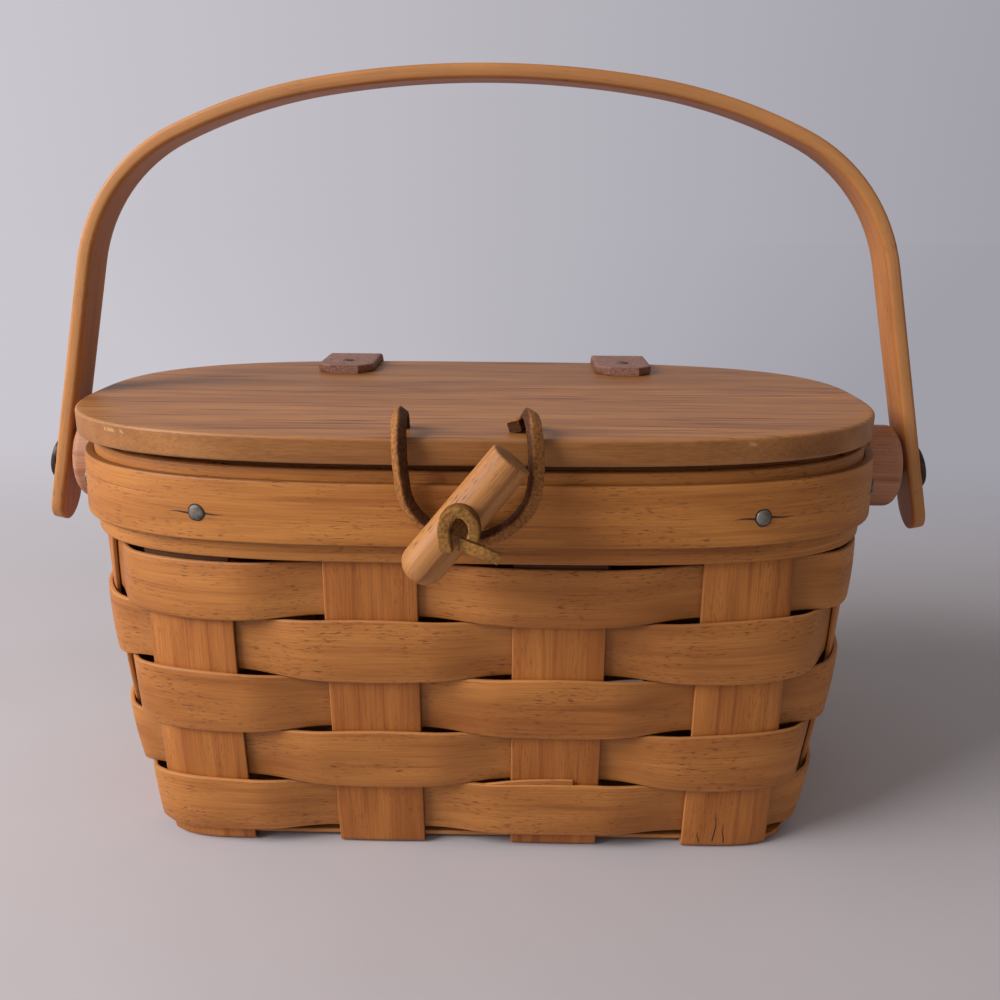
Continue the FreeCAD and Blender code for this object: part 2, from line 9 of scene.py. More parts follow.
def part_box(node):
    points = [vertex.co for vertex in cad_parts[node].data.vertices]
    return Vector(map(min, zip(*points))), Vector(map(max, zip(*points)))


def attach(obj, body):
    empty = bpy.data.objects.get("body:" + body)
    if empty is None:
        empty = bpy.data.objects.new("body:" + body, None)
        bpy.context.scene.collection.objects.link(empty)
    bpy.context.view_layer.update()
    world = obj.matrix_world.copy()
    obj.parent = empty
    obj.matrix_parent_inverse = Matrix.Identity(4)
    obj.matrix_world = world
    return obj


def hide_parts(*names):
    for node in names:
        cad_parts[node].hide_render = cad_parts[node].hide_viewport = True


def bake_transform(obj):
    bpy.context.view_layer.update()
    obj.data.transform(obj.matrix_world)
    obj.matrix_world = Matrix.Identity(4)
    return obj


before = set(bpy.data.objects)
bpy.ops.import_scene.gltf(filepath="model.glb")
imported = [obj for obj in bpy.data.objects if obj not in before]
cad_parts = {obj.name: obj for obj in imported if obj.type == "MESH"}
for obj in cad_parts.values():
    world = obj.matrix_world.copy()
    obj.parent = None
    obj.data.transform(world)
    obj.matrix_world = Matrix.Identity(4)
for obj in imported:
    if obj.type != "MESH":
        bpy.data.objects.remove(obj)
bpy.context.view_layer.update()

# Metres, +Z up, -Y to the front, +X to the right. Lengths below are written in millimetres.
MM = 0.001
X_AXIS = Vector((1, 0, 0))
Y_AXIS = Vector((0, 1, 0))
Z_AXIS = Vector((0, 0, 1))
chance = random.Random(7)

# Outline of the woven wall's middle surface at the floor and at the rim
base_half_length = 83.5 * MM
base_half_width = 41.6 * MM
base_front_flatness = 14.0
base_end_flatness = 5.0
rim_half_length = 96.85 * MM
rim_half_width = 49.9 * MM
rim_front_flatness = 3.14
rim_end_flatness = 2.85
wall_fullness = 2.1

# Stakes and the splints in the base
stake_width = 22.0 * MM
stake_thickness = 1.2 * MM
stake_edge_round = 0.35 * MM
stake_cup = 0.2 * MM
# Painted shadow: a dark line along each stake's right edge
stake_edge_painted_shadow = 3.0
# Painted shade: how far below the rim the stakes are darkened where the top weaver covers them
stake_painted_shade_top = 1.9 * MM
stake_bend = 1.3 * MM
stake_pitch = 44.0 * MM
stake_tones = (0.35, 0.65)
splint_tones = (0.3, 0.5)
cross_places = [-67.5 * MM + stake_pitch * i for i in range(4)]
long_places = [-20.0 * MM, 20.0 * MM]

# Weavers
weaver_count = 5
weaver_thickness = 1.2 * MM
weaver_edge_round = 0.35 * MM
weaver_tones = (0.5, 0.7)
weave_gap = 0.2 * MM
weave_margin = 1.5 * MM
weave_lift = (stake_thickness + weaver_thickness) / 2 + weave_gap
flat_share = 0.27
weaver_dip = 0.8 * MM
first_row_dip = 0.1 * MM
weaver_crest = 0.8 * MM
top_row_crest = -1.1 * MM
weaver_bottom_ease = 1.0 * MM
weaver_top_ease = 0.6 * MM
weaver_cup = 0.25 * MM
weaver_waviness = 0.3 * MM
wave_reach = 3.0
wave_row_step = 7.3
wave_edge_step = 3.0

# The tucked end of the lowest weaver, which shows above it at the front
lap_start = 9.57
lap_end_place = 10.1
lap_height = 7.0 * MM
lap_rise = 2.3 * MM
lap_thickness = 0.7 * MM
lap_depth = 0.25 * MM
lap_tone = 0.6

# Rim bands, measured out from the middle of the stakes
layer_gap = 0.1 * MM
band_thickness = 1.6 * MM
band_edge_round = 0.6 * MM
band_tones = (0.4, 0.6)
trim_thickness = 2.2 * MM
trim_edge_round = 0.45 * MM
# Painted shadow: dark lines along the trim strip's edges
trim_edge_painted_shadow = 2.0
outer_band_in = stake_thickness / 2 + layer_gap
outer_band_out = outer_band_in + band_thickness
trim_in = outer_band_out + layer_gap
trim_out = trim_in + trim_thickness
inner_band_out = -outer_band_in
inner_band_in = inner_band_out - band_thickness
scarf_place = 3.35
scarf_length = 0.45
scarf_tip = 0.25 * MM
# Painted shade: darkens the inner band above the outer one, and the stakes just below the rim
gap_painted_shade = 3.0

# Nails and tacks
nail_head_radius = 1.8 * MM
nail_head_height = 0.6 * MM
nail_foot_share = 0.96
nail_wobble = 0.08
front_left_nail_shift = 6.2 * MM
# Painted shadow: a thin dark disc just proud of the trim, a little wider than each nail head
nail_shadow_margin = 0.3 * MM
nail_shadow_height = 0.05 * MM
nail_shadow_wobble = 0.1

# Splits at the nails
split_half_length = 6.5 * MM
split_half_width = 0.28 * MM
split_taper = 0.95
split_depth = 0.2 * MM
split_rise = 0.2 * MM
split_wave = 0.1 * MM
split_wave_turn = 7

# Splits low on the front of the last cross stake: x, lower and upper end
stake_splits = [(61.6, 2.2, 11.5), (64.0, 1.6, 7.6), (57.6, 1.8, 5.2)]
stake_split_half_width = 0.16 * MM
stake_split_wave = 0.25 * MM
stake_split_turn = 5

# Lid, with its chips: the place of each in stakes round the wall, and its reach
lid_overhang = 0.2 * MM
lid_shift = -1.1 * MM
lid_edge_round = 0.8 * MM
lid_worn_border = 5.0 * MM
lid_border_wear = 0.1
lid_top_wear = 0.5
lid_bottom_wear = 0.9
# Painted shade: darkens the lid's side and the rounding into it
lid_side_painted_shade = 0.35
lid_chips = [(7.66, 0.02), (7.70, 0.012), (7.735, 0.02), (7.80, 0.01), (10.94, 0.01)]
chip_drop = 1.7 * MM
chip_reach = 1.0 * MM
chip_wear = 2.8
lace_hole_radius = 1.9 * MM

# Hinge straps
strap_width = 16.5 * MM
strap_thickness = 2.4 * MM
strap_spread = 41.5 * MM
strap_lid_length = 26.0 * MM
strap_drop = 24.0 * MM
strap_point = 4.0 * MM
strap_gap = 0.25 * MM
strap_bend = 3.0 * MM
strap_edge_round = 0.6 * MM
strap_waviness = 0.12 * MM
strap_wave_across = 900
strap_wave_along = 160
strap_tack_inset = 9.0 * MM
tack_rise_from_end = 7.0 * MM

# Handle
handle_width = 12.5 * MM
handle_thickness = 3.4 * MM
handle_edge_round = 0.9 * MM
handle_tone = 0.55
crown_radius = 261.0 * MM
shoulder_radius = 140.0 * MM
corner_radius = 47.0 * MM
shoulder_end = radians(25.3)
leg_slope = radians(77.4)
leg_gap = 11.3 * MM
leg_end_drop = 17.4 * MM
leg_end_share = 0.97
handle_shift = 1.6 * MM
cap_radius = 6.0 * MM
cap_height = 2.2 * MM
cap_skirt = 0.7 * MM
cap_wobble = 0.02
spacer_edge_round = 2.2 * MM
spacer_tone = 0.4

# Peg
peg_radius = 4.95 * MM
peg_length = 34.0 * MM
peg_tilt = radians(51.2)
peg_tip_length = 4.4 * MM
peg_tip_fullness = 0.8
peg_taper = 0.03
peg_wobble = 0.03
peg_end_round = 0.5 * MM
# Painted shade: darkens the peg's end face
peg_end_painted_shade = 1.3
peg_hole_radius = 1.6 * MM
peg_tone = 0.6

# Thong: the stem through the peg, the curl and the tail before it
thong_width = 2.8 * MM
thong_thickness = 2.5 * MM
thong_edge_round = 0.35 * MM
stem_thickness = 3.5 * MM
stem_edge_round = 0.4 * MM
stem_reach = 1.12 * MM
stem_twist = 0.3
curl_half_width = 3.2 * MM
curl_half_height = 4.1 * MM
curl_depth = 1.4 * MM
curl_bow = 0.7 * MM
curl_start = radians(-28)
curl_leg_drop = 4.9 * MM
curl_leg_lean = 0.7 * MM
tail_start_drop = 3.5 * MM
tail_length = 8.8 * MM
tail_width = 2.9 * MM
tail_thickness = 1.2 * MM
tail_edge_round = 0.3 * MM
tail_fall = radians(-19)
tail_bow = 0.3 * MM
tail_depth = 0.6 * MM
tail_lift = 1.5 * MM
tail_lift_turn = 2.2
tail_twist = 0.2

# Lace and knots
lace_width = 3.0 * MM
lace_thickness = 2.6 * MM
lace_edge_round = 0.45 * MM
lace_twist = radians(45)
lace_twist_swing = 0.25
lace_twist_turn = 7
lace_tail = [(11.6, -43.4, 111.9), (10.6, -45.6, 112.4), (9.4, -48.6, 111.8)]
lace_tail_twist = 0.2
knot_turn_radius = 1.7 * MM
thong_knot_turns = 1.7
thong_knot_depths = (0.4 * MM, 2.6 * MM)
lace_knot_turns = 1.8
lace_knot_depths = (0.2 * MM, 2.6 * MM)
smooth_leather = 0.05
uneven_leather = 0.06
torn_leather = 0.08

# Route of the lace's middle line, from the left hole in the lid round behind the peg
# to the right hole
lace_route = [
    (-16.0, -43.0, 104.0),
    (-16.0, -43.0, 115.0),
    (-15.4, -57.6, 114.2),
    (-14.8, -57.2, 99.6),
    (-12.8, -57.0, 94.6),
    (-8.0, -57.0, 90.0),
    (-0.6, -57.0, 87.7),
    (6.0, -57.0, 89.1),
    (11.6, -57.0, 93.6),
    (14.5, -57.2, 99.6),
    (14.0, -57.6, 114.1),
    (12.0, -43.0, 115.0),
    (12.0, -43.0, 104.0),
]

# Camera of the photograph
camera_place = Vector((10.24, -265.22, 159.68)) * MM
camera_yaw = -0.0178
camera_pitch = 0.2904
camera_roll = 0.0067
camera_lens = 36.02
camera_sensor = 36.0
camera_near = 0.01

# Light and surroundings, in metres and watts
window_place = Vector((-0.7, -0.33, 0.56))
window_aim = Vector((0, 0, 0.07))
window_size = 0.5
window_power = 10.2
window_tint = (1.0, 0.99, 1.0)
fill_colour = (0.325, 0.312, 0.3, 1.0)
backdrop_spread = 0.45
floor_reach = 4.0
floor_roughness = 0.9
floor_fade = (0.02, 0.45)

# Mesh fineness: steps along and across the pieces, welding and smoothing
wall_steps = 26
stations_per_stake = 28
band_stations = 16
lid_stations = 60
split_steps = 18
stake_split_steps = 14
lap_steps = 30
curl_steps = 30
lace_knot_steps = 34
strap_steps = 20
stem_steps = 12
bow_arc_steps = 16
leg_steps = 14
cap_steps = 9
nail_steps = 7
lid_edge_steps = 5
stake_columns = 8
splint_columns = 5
weaver_columns = 7
lap_columns = 4
band_columns = 12
strap_columns = 8
handle_columns = 6
long_steps = 16
middle_steps = 10
short_steps = 8
bend_steps = 6
edge_steps = 3
lathe_steps = 48
route_steps = 10
merge_distance = 0.000001
sharp_angle = radians(38)

# Scales of the noise that makes turned pieces and leather uneven, and how sharply leather
# turns to suede round its section
turned_noise = 1.5
turned_noise_shift = 900
leather_noise_along = 1100
leather_noise_across = 700
suede_contrast = 1.2


def mix(low, high, share):
    """Return the value that lies this share of the way from low to high."""
    return low + (high - low) * share


def shares(steps):
    """Return evenly spaced shares from 0 to 1."""
    return [i / steps for i in range(steps + 1)]


def clamp(value):
    """Return the value kept between 0 and 1."""
    return min(1.0, max(0.0, value))


def arc(steps, reach, drop, along=0.0, across=0.0):
    """Return a quarter arc's points: the first value grows by reach, the second falls by drop."""
    points = []
    for share in shares(steps):
        angle = share * pi / 2
        points.append((along + reach * sin(angle), across + drop * cos(angle)))
    return points


def slope(line, i):
    """Return the step from the point before a place on a line to the one after it."""
    return line[min(i + 1, len(line) - 1)] - line[max(i - 1, 0)]


def node_heights(node):
    """Return the heights of a node's lowest and highest point."""
    low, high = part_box(node)
    return low.z, high.z


# Places taken from the frame
band_bottom, band_top = node_heights("outer_band")
trim_top = node_heights("trim_strip")[1]
lid_bottom, lid_top = node_heights("lid_board")
lid_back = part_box("lid_board")[1].y
strap_bottom = lid_top - strap_drop
pivot_height = sum(node_heights("handle_spacer_left")) / 2
handle_top = node_heights("handle_bow")[1]

# The woven wall

crossings = [("right", y) for y in long_places]
crossings += [("back", x) for x in reversed(cross_places)]
crossings += [("left", y) for y in reversed(long_places)]
crossings += [("front", x) for x in cross_places]
side_sense = {"right": 1, "back": -1, "left": -1, "front": 1}
inward = {"right": -X_AXIS, "back": -Y_AXIS, "left": X_AXIS, "front": Y_AXIS}


def wall_outline(z):
    """Return half length, half width and both flatnesses of the wall at height z."""
    share = z / band_top
    bulge = 1 - max(0.0, 1 - share) ** wall_fullness
    front = 1 / mix(1 / base_front_flatness, 1 / rim_front_flatness, share)
    ends = 1 / mix(1 / base_end_flatness, 1 / rim_end_flatness, share)
    half_length = mix(base_half_length, rim_half_length, bulge)
    half_width = mix(base_half_width, rim_half_width, bulge)
    return half_length, half_width, front, ends


def wall_point(angle, z, offset):
    """Return the wall point at a parametric angle, moved out along its level normal."""
    half_length, half_width, front, ends = wall_outline(z)
    cosine = cos(angle)
    sine = sin(angle)
    x_share = abs(cosine) ** (2 / front)
    y_share = abs(sine) ** (2 / ends)
    normal_x = copysign(front / half_length * x_share ** (front - 1), cosine)
    normal_y = copysign(ends / half_width * y_share ** (ends - 1), sine)
    reach = offset / hypot(normal_x, normal_y)
    x = copysign(half_length * x_share, cosine) + normal_x * reach
    y = copysign(half_width * y_share, sine) + normal_y * reach
    return Vector((x, y, z))


def wall_angle(side, value, z):
    """Return the parametric angle on a side: at an x on front or back, at a y on an end."""
    half_length, half_width, front, ends = wall_outline(z)
    if side in ("right", "left"):
        turn = copysign(asin(abs(value / half_width) ** (ends / 2)), value)
        return turn if side == "right" else pi - turn
    turn = acos(copysign(abs(value / half_length) ** (front / 2), value))
    return turn if side == "back" else 2 * pi - turn


def wall_normal(angle, z):
    """Return the outward normal of the sloping wall."""
    step = 0.1 * MM
    along = wall_point(angle + step, z, 0) - wall_point(angle - step, z, 0)
    up = wall_point(angle, z + step, 0) - wall_point(angle, z - step, 0)
    return along.cross(up).normalized()


def ring_angle(place, z):
    """Return the wall angle at a place round the wall, counted in stakes."""
    index = floor(place)
    step = place - index
    side, centre = crossings[index % len(crossings)]
    next_side, next_centre = crossings[(index + 1) % len(crossings)]
    if side == next_side:
        return wall_angle(side, mix(centre, next_centre, step), z)
    reach = stake_width / 2 + weave_margin
    leave = centre + side_sense[side] * reach
    enter = next_centre - side_sense[next_side] * reach
    if step < flat_share:
        return wall_angle(side, mix(centre, leave, step / flat_share), z)
    if step > 1 - flat_share:
        return wall_angle(next_side, mix(next_centre, enter, (1 - step) / flat_share), z)
    start = wall_angle(side, leave, z)
    end = wall_angle(next_side, enter, z)
    if end < start:
        end += 2 * pi
    return mix(start, end, (step - flat_share) / (1 - 2 * flat_share))


def side_point(side, value, z, offset=0.0):
    """Return the wall point on a side: at an x on front or back, at a y on an end."""
    return wall_point(wall_angle(side, value, z), z, offset)


def ring_point(place, z, offset):
    """Return the wall point at a place round the wall, counted in stakes."""
    return wall_point(ring_angle(place, z), z, offset)


# Mesh building


def add_object(name, data):
    """Put a new object into the scene and return it."""
    made = bpy.data.objects.new(name, data)
    bpy.context.scene.collection.objects.link(made)
    return made


class Shape:
    """Gathers patches of faces, with grain coordinates and shades, into one mesh."""

    def __init__(self, tone=0.5):
        self.mesh = bmesh.new()
        self.grain = self.mesh.loops.layers.uv.new("grain")
        self.shade = self.mesh.loops.layers.float_color.new("shade")
        self.tone = tone
        self.shift = (chance.uniform(0, 2), chance.uniform(0, 2))

    def patch(self, rows, grain, shades):
        """Add a grid of quads. Grain holds length and width, shades hold wear and painted shade."""
        corners = [[self.mesh.verts.new(p) for p in row] for row in rows]
        for i in range(len(rows) - 1):
            for j in range(len(rows[0]) - 1):
                places = [(i, j), (i, j + 1), (i + 1, j + 1), (i + 1, j)]
                face = self.mesh.faces.new([corners[a][b] for a, b in places])
                for loop, (a, b) in zip(face.loops, places):
                    u, v = grain[a][b]
                    loop[self.grain].uv = (u + self.shift[0], v + self.shift[1])
                    loop[self.shade] = (self.tone, *shades[a][b], 1.0)

    def cap(self, points, shade=(0.0, 0.0)):
        """Add one flat face whose grain lies along X and Y."""
        face = self.mesh.faces.new([self.mesh.verts.new(p) for p in points])
        for loop in face.loops:
            x, y, _ = loop.vert.co
            loop[self.grain].uv = (x + self.shift[0], y + self.shift[1])
            loop[self.shade] = (self.tone, *shade, 1.0)

    def finish(self, name, material):
        """Return the welded, smooth object."""
        bmesh.ops.remove_doubles(self.mesh, verts=self.mesh.verts, dist=merge_distance)
        bmesh.ops.recalc_face_normals(self.mesh, faces=self.mesh.faces)
        data = bpy.data.meshes.new(name)
        self.mesh.to_mesh(data)
        self.mesh.free()
        data.shade_smooth()
        data.set_sharp_from_angle(angle=sharp_angle)
        data.materials.append(material)
        return add_object(name, data)


def dress(piece, slot, body, *nodes):
    """Hide the nodes that a piece stands for and put it on the body that it rides on. The slot is not
    used.
    """
    if nodes:
        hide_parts(*nodes)
    if body:
        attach(piece, body)


def rounded_columns(width, thickness, rounding, steps):
    """Return places across a strip, each with its half thickness and wear at the edge."""
    corner = arc(edge_steps, rounding, rounding, thickness / 2 - rounding)
    edge = []
    for share, (half, left) in zip(shares(edge_steps), corner):
        edge.append((rounding - left - width / 2, half, 1 - share))
    inner = width - 2 * rounding
    middle = [(inner * (s - 0.5), thickness / 2, 0.0) for s in shares(steps)[1:-1]]
    mirrored = [(-place, half, wear) for place, half, wear in reversed(edge)]
    return edge + middle + mirrored


def line_lengths(points):
    """Return the distance along a line of points up to each of them."""
    lengths = [0.0]
    for before, after in zip(points, points[1:]):
        lengths.append(lengths[-1] + (after - before).length)
    return lengths


def strip(shape, outer, inner, widths, shades, closed=False):
    """Add a strip between rows of outer and inner points, with its edges and ends."""
    lengths = line_lengths([row[len(row) // 2] for row in outer])
    grain = [[(u, v) for v in widths] for u in lengths]
    shape.patch(outer, grain, shades)
    shape.patch(inner, grain, shades)
    for j in (0, -1):
        sides = [[a[j], b[j]] for a, b in zip(outer, inner)]
        depth = [(a - b).length for a, b in sides]
        side_grain = [[(u, widths[j]), (u, widths[j] + d)] for u, d in zip(lengths, depth)]
        shape.patch(sides, side_grain, [[s[j], s[j]] for s in shades])
    if not closed:
        for i in (0, -1):
            shape.patch([outer[i], inner[i]], [grain[i], grain[i]], [shades[i], shades[i]])


def ribbon(shape, middle, columns, far_edge_painted_shadow=0.0, row_painted_shade=None):
    """Add a strip of rounded section along rows of middle points, with painted shade where wanted."""
    lines = list(zip(*middle))
    outer = []
    inner = []
    for i, row in enumerate(middle):
        reaches = []
        for j, (_, half, _) in enumerate(columns):
            normal = slope(lines[j], i).cross(slope(row, j)).normalized()
            reaches.append(normal * half)
        outer.append([point + reach for point, reach in zip(row, reaches)])
        inner.append([point - reach for point, reach in zip(row, reaches)])
    shades = []
    for place, _, wear in columns:
        # A far-edge value paints a shadow line along the edge on the +x side instead of wear
        dark = far_edge_painted_shadow > 0 and place > 0
        shades.append((0.0, far_edge_painted_shadow * wear) if dark else (wear, 0.0))
    row_shades = []
    for depth in row_painted_shade or [0.0] * len(middle):
        row_shades.append([(wear, painted_shade + depth) for wear, painted_shade in shades])
    strip(shape, outer, inner, [c[0] for c in columns], row_shades)


def ring_strip(shape, spots, columns, shades, closed=False):
    """Add a strip round the wall, through rows of place, height, outer and inner offset."""
    outer = [[ring_point(place, z, out) for place, z, out, _ in row] for row in spots]
    inner = [[ring_point(place, z, back) for place, z, _, back in row] for row in spots]
    strip(shape, outer, inner, [c[0] for c in columns], shades, closed)


def lathe(shape, base, direction, profile, wobble=0.0, end_painted_shade=0.0):
    """Add a turned form: profile holds the distance along the axis and the radius."""
    turn = Z_AXIS.rotation_difference(direction).to_matrix()
    angles = [2 * pi * share for share in shares(lathe_steps)]
    rows = []
    for along, radius in profile:
        row = []
        for angle in angles:
            spot = Vector((cos(angle), sin(angle), 0))
            uneven = noise.noise(spot * turned_noise + base * turned_noise_shift)
            swell = 1 + wobble * uneven
            row.append(base + turn @ (spot * radius * swell + Z_AXIS * along))
        rows.append(row)
    lengths = line_lengths([Vector((along, radius, 0)) for along, radius in profile])
    grain = [[(length, angle * peg_radius) for angle in angles] for length in lengths]
    # The end value paints shade on the last two rows, the end face
    painted_shade = [0.0] * (len(rows) - 2) + [end_painted_shade] * 2
    shape.patch(rows, grain, [[(0.0, depth)] * len(angles) for depth in painted_shade])


def smooth_line(points):
    """Return points along the smooth line that a route of control points gives."""
    curve = bpy.data.curves.new("route", "CURVE")
    curve.dimensions = "3D"
    curve.resolution_u = route_steps
    spline = curve.splines.new("NURBS")
    spline.points.add(len(points) - 1)
    for control, place in zip(spline.points, points):
        control.co = (*place, 1.0)
    spline.order_u = 3
    spline.use_endpoint_u = True
    holder = bpy.data.objects.new("route", curve)
    data = bpy.data.meshes.new_from_object(holder)
    line = [vertex.co.copy() for vertex in data.vertices]
    bpy.data.meshes.remove(data)
    bpy.data.objects.remove(holder)
    bpy.data.curves.remove(curve)
    return line


def section_loop(width, thickness, rounding):
    """Return the points round a rectangular section with rounded corners, closed."""
    loop = []
    for turn, (sx, sy) in enumerate(((1, 1), (-1, 1), (-1, -1), (1, -1))):
        centre_x = sx * (width / 2 - rounding)
        centre_y = sy * (thickness / 2 - rounding)
        for share in shares(edge_steps):
            angle = (turn + share) * pi / 2
            loop.append((centre_x + rounding * cos(angle), centre_y + rounding * sin(angle)))
    return loop + loop[:1]


def sweep(shape, line, side, loop, roughness, twists=None):
    """Add a strap along a line, suede on one side. Side is its first sideways direction."""
    around = line_lengths([Vector((x, y, 0)) for x, y in loop])
    width = 2 * max(x for x, y in loop)
    thickness = 2 * max(y for x, y in loop)
    suede = [clamp(0.5 + (x / width - y / thickness) * suede_contrast) for x, y in loop]
    rows = []
    for i, point in enumerate(line):
        along = slope(line, i).normalized()
        side = (side - along * side.dot(along)).normalized()
        wide = Matrix.Rotation(twists[i] if twists else 0.0, 3, along) @ side
        thick = along.cross(wide)
        row = []
        for x, y in loop:
            spot = point * leather_noise_along + Vector((x, y, 0)) * leather_noise_across
            swell = 1 + roughness * noise.noise(spot)
            row.append(point + (wide * x + thick * y) * swell)
        rows.append(row)
    grain = [[(u, v) for v in around] for u in line_lengths(line)]
    shape.patch(rows, grain, [[(share, 0.0) for share in suede]] * len(rows))
    for i in (0, -1):
        shape.cap(rows[i][:-1], (1.0, 0.0))


# Materials


def colour(red, green, blue):
    """Return a display colour of 0 to 255 as a linear colour with full alpha."""
    linear = []
    for value in (red, green, blue):
        share = value / 255
        linear.append(share / 12.92 if share <= 0.04045 else ((share + 0.055) / 1.055) ** 2.4)
    return (*linear, 1.0)


fleck_colour = colour(110, 60, 30)
worn_colour = colour(206, 158, 108)
# Painted shade: the dark brown that shaded places are mixed towards
painted_shade_colour = colour(58, 28, 10)
# Painted light: the backdrop is paler to the left, as if lit from the window there, and darker to the
# right
backdrop_painted_lit = colour(202, 198, 205)
backdrop_painted_shaded = colour(160, 159, 168)
floor_colours = (colour(180, 173, 176), colour(187, 181, 184))


def fill_sockets(tree, node, sockets):
    """Fill a node's sockets with links or values."""
    for key, value in sockets.items():
        if isinstance(value, bpy.types.NodeSocket):
            tree.links.new(value, node.inputs[key])
        else:
            node.inputs[key].default_value = value


def add_node(tree, kind, sockets, **settings):
    """Add a shader node, set its properties and fill its sockets."""
    made = tree.nodes.new(kind)
    for key, value in settings.items():
        setattr(made, key, value)
    fill_sockets(tree, made, sockets)
    return made


def blend_colours(tree, share, first, second, blend="MIX"):
    """Return the mix of two colours."""
    sockets = {0: share, 6: first, 7: second}
    return add_node(tree, "ShaderNodeMix", sockets, data_type="RGBA", blend_type=blend).outputs[2]


def maths(tree, operation, first, second):
    """Return the result of a sum on two numbers."""
    return add_node(tree, "ShaderNodeMath", {0: first, 1: second}, operation=operation).outputs[0]


def spread(tree, value, low, high, start=0.0, end=1.0, **settings):
    """Return the value with low to high stretched over start to end."""
    sockets = {"Value": value, "From Min": low, "From Max": high, "To Min": start, "To Max": end}
    return add_node(tree, "ShaderNodeMapRange", sockets, **settings).outputs[0]


def object_place(tree):
    """Return the place on an object."""
    return add_node(tree, "ShaderNodeTexCoord", {}).outputs["Object"]


def long_noise(tree, place, length, width, detail):
    """Return noise whose cells have this length along the grain and width across it."""
    scale = (1 / length, 1 / width, 1 / width)
    moved = add_node(tree, "ShaderNodeMapping", {"Vector": place, "Scale": scale}).outputs[0]
    sockets = {"Vector": moved, "Scale": 1.0, "Detail": detail, "Roughness": 0.6}
    return add_node(tree, "ShaderNodeTexNoise", sockets).outputs[0]


def new_material(name):
    """Return a material with its node tree and shader."""
    material = bpy.data.materials.new(name)
    material.use_nodes = True
    tree = material.node_tree
    return material, tree, tree.nodes["Principled BSDF"]


def bump(tree, height, strength, distance):
    """Return a normal bent by a height."""
    sockets = {"Height": height, "Strength": strength, "Distance": distance}
    return add_node(tree, "ShaderNodeBump", sockets).outputs[0]


def shade_parts(tree):
    """Return a piece's tone, wear and painted shade."""
    read = add_node(tree, "ShaderNodeAttribute", {}, attribute_name="shade").outputs["Color"]
    return add_node(tree, "ShaderNodeSeparateColor", {"Color": read}).outputs


def wood(name, pale, deep, streak, flecks, solid=False, gloss=0.5, streak_length=90 * MM):
    """Return wood with broad tones, streaks, fine fibres, short dark flecks and painted shade."""
    material, tree, shader = new_material(name)
    if solid:
        place = object_place(tree)
    else:
        place = add_node(tree, "ShaderNodeUVMap", {}, uv_map="grain").outputs[0]
    tone, wear, painted_shade = shade_parts(tree)[:3]
    broad = long_noise(tree, place, 60 * MM, 9 * MM, 2.0)
    bands = long_noise(tree, place, streak_length, streak_length / 40, 3.0)
    fibre = long_noise(tree, place, 16 * MM, 0.35 * MM, 4.0)
    dashes = long_noise(tree, place, 2.6 * MM, 0.45 * MM, 1.0)
    groups = long_noise(tree, place, 22 * MM, 7 * MM, 2.0)
    level = maths(tree, "ADD", spread(tree, broad, 0.3, 0.7, -0.4, 0.4), tone)
    base = blend_colours(tree, level, deep, pale)
    band_share = spread(tree, bands, 0.53, 0.68, 0.0, streak)
    band_share = maths(tree, "MULTIPLY", band_share, spread(tree, painted_shade, 0.0, 0.4, 1.0, 0.0))
    base = blend_colours(tree, band_share, base, deep, "MULTIPLY")
    fibre_light = spread(tree, fibre, 0.3, 0.7, 0.78, 1.14)
    base = blend_colours(tree, 1.0, base, fibre_light, "MULTIPLY")
    dash_share = spread(tree, dashes, 0.57, 0.7)
    group_share = spread(tree, groups, 0.42, 0.6, 0.0, flecks)
    fleck = maths(tree, "MULTIPLY", dash_share, group_share)
    base = blend_colours(tree, fleck, base, fleck_colour)
    base = blend_colours(tree, maths(tree, "MULTIPLY", wear, 0.3), base, worn_colour)
    # Painted shade: mix towards dark brown where the shade attribute's third channel asks for it
    base = blend_colours(tree, maths(tree, "MULTIPLY", painted_shade, 0.3), base, painted_shade_colour)
    height = maths(tree, "SUBTRACT", maths(tree, "ADD", fibre, bands), fleck)
    rough = spread(tree, fibre, 0.3, 0.7, gloss - 0.07, gloss + 0.1)
    normal = bump(tree, height, 0.35, 0.12 * MM)
    look = {"Base Color": base, "Roughness": rough, "Normal": normal, "Specular IOR Level": 0.3}
    fill_sockets(tree, shader, look)
    return material


def leather(name, smooth, suede, grain_size, shine=0.5):
    """Return leather with a pebbled smooth face and a fibrous suede face."""
    material, tree, shader = new_material(name)
    place = object_place(tree)
    suede_share = shade_parts(tree)[1]
    scale = {"Vector": place, "Scale": 1 / grain_size}
    pebble = add_node(tree, "ShaderNodeTexVoronoi", scale).outputs["Distance"]
    fuzz = long_noise(tree, place, 0.7 * MM, 0.7 * MM, 5.0)
    blotch = long_noise(tree, place, 6 * MM, 6 * MM, 3.0)
    share = spread(tree, maths(tree, "ADD", suede_share, blotch), 0.75, 1.25)
    base = blend_colours(tree, share, smooth, suede)
    fuzz_light = spread(tree, fuzz, 0.35, 0.68, 0.45, 1.6)
    base = blend_colours(tree, 0.8, base, fuzz_light, "MULTIPLY")
    height = maths(tree, "ADD", maths(tree, "MULTIPLY", pebble, 0.5), fuzz)
    rough = spread(tree, blotch, 0.3, 0.7, 0.55, 0.8)
    normal = bump(tree, height, 0.5, 0.2 * MM)
    look = {"Base Color": base, "Roughness": rough, "Normal": normal, "Specular IOR Level": shine}
    fill_sockets(tree, shader, look)
    return material


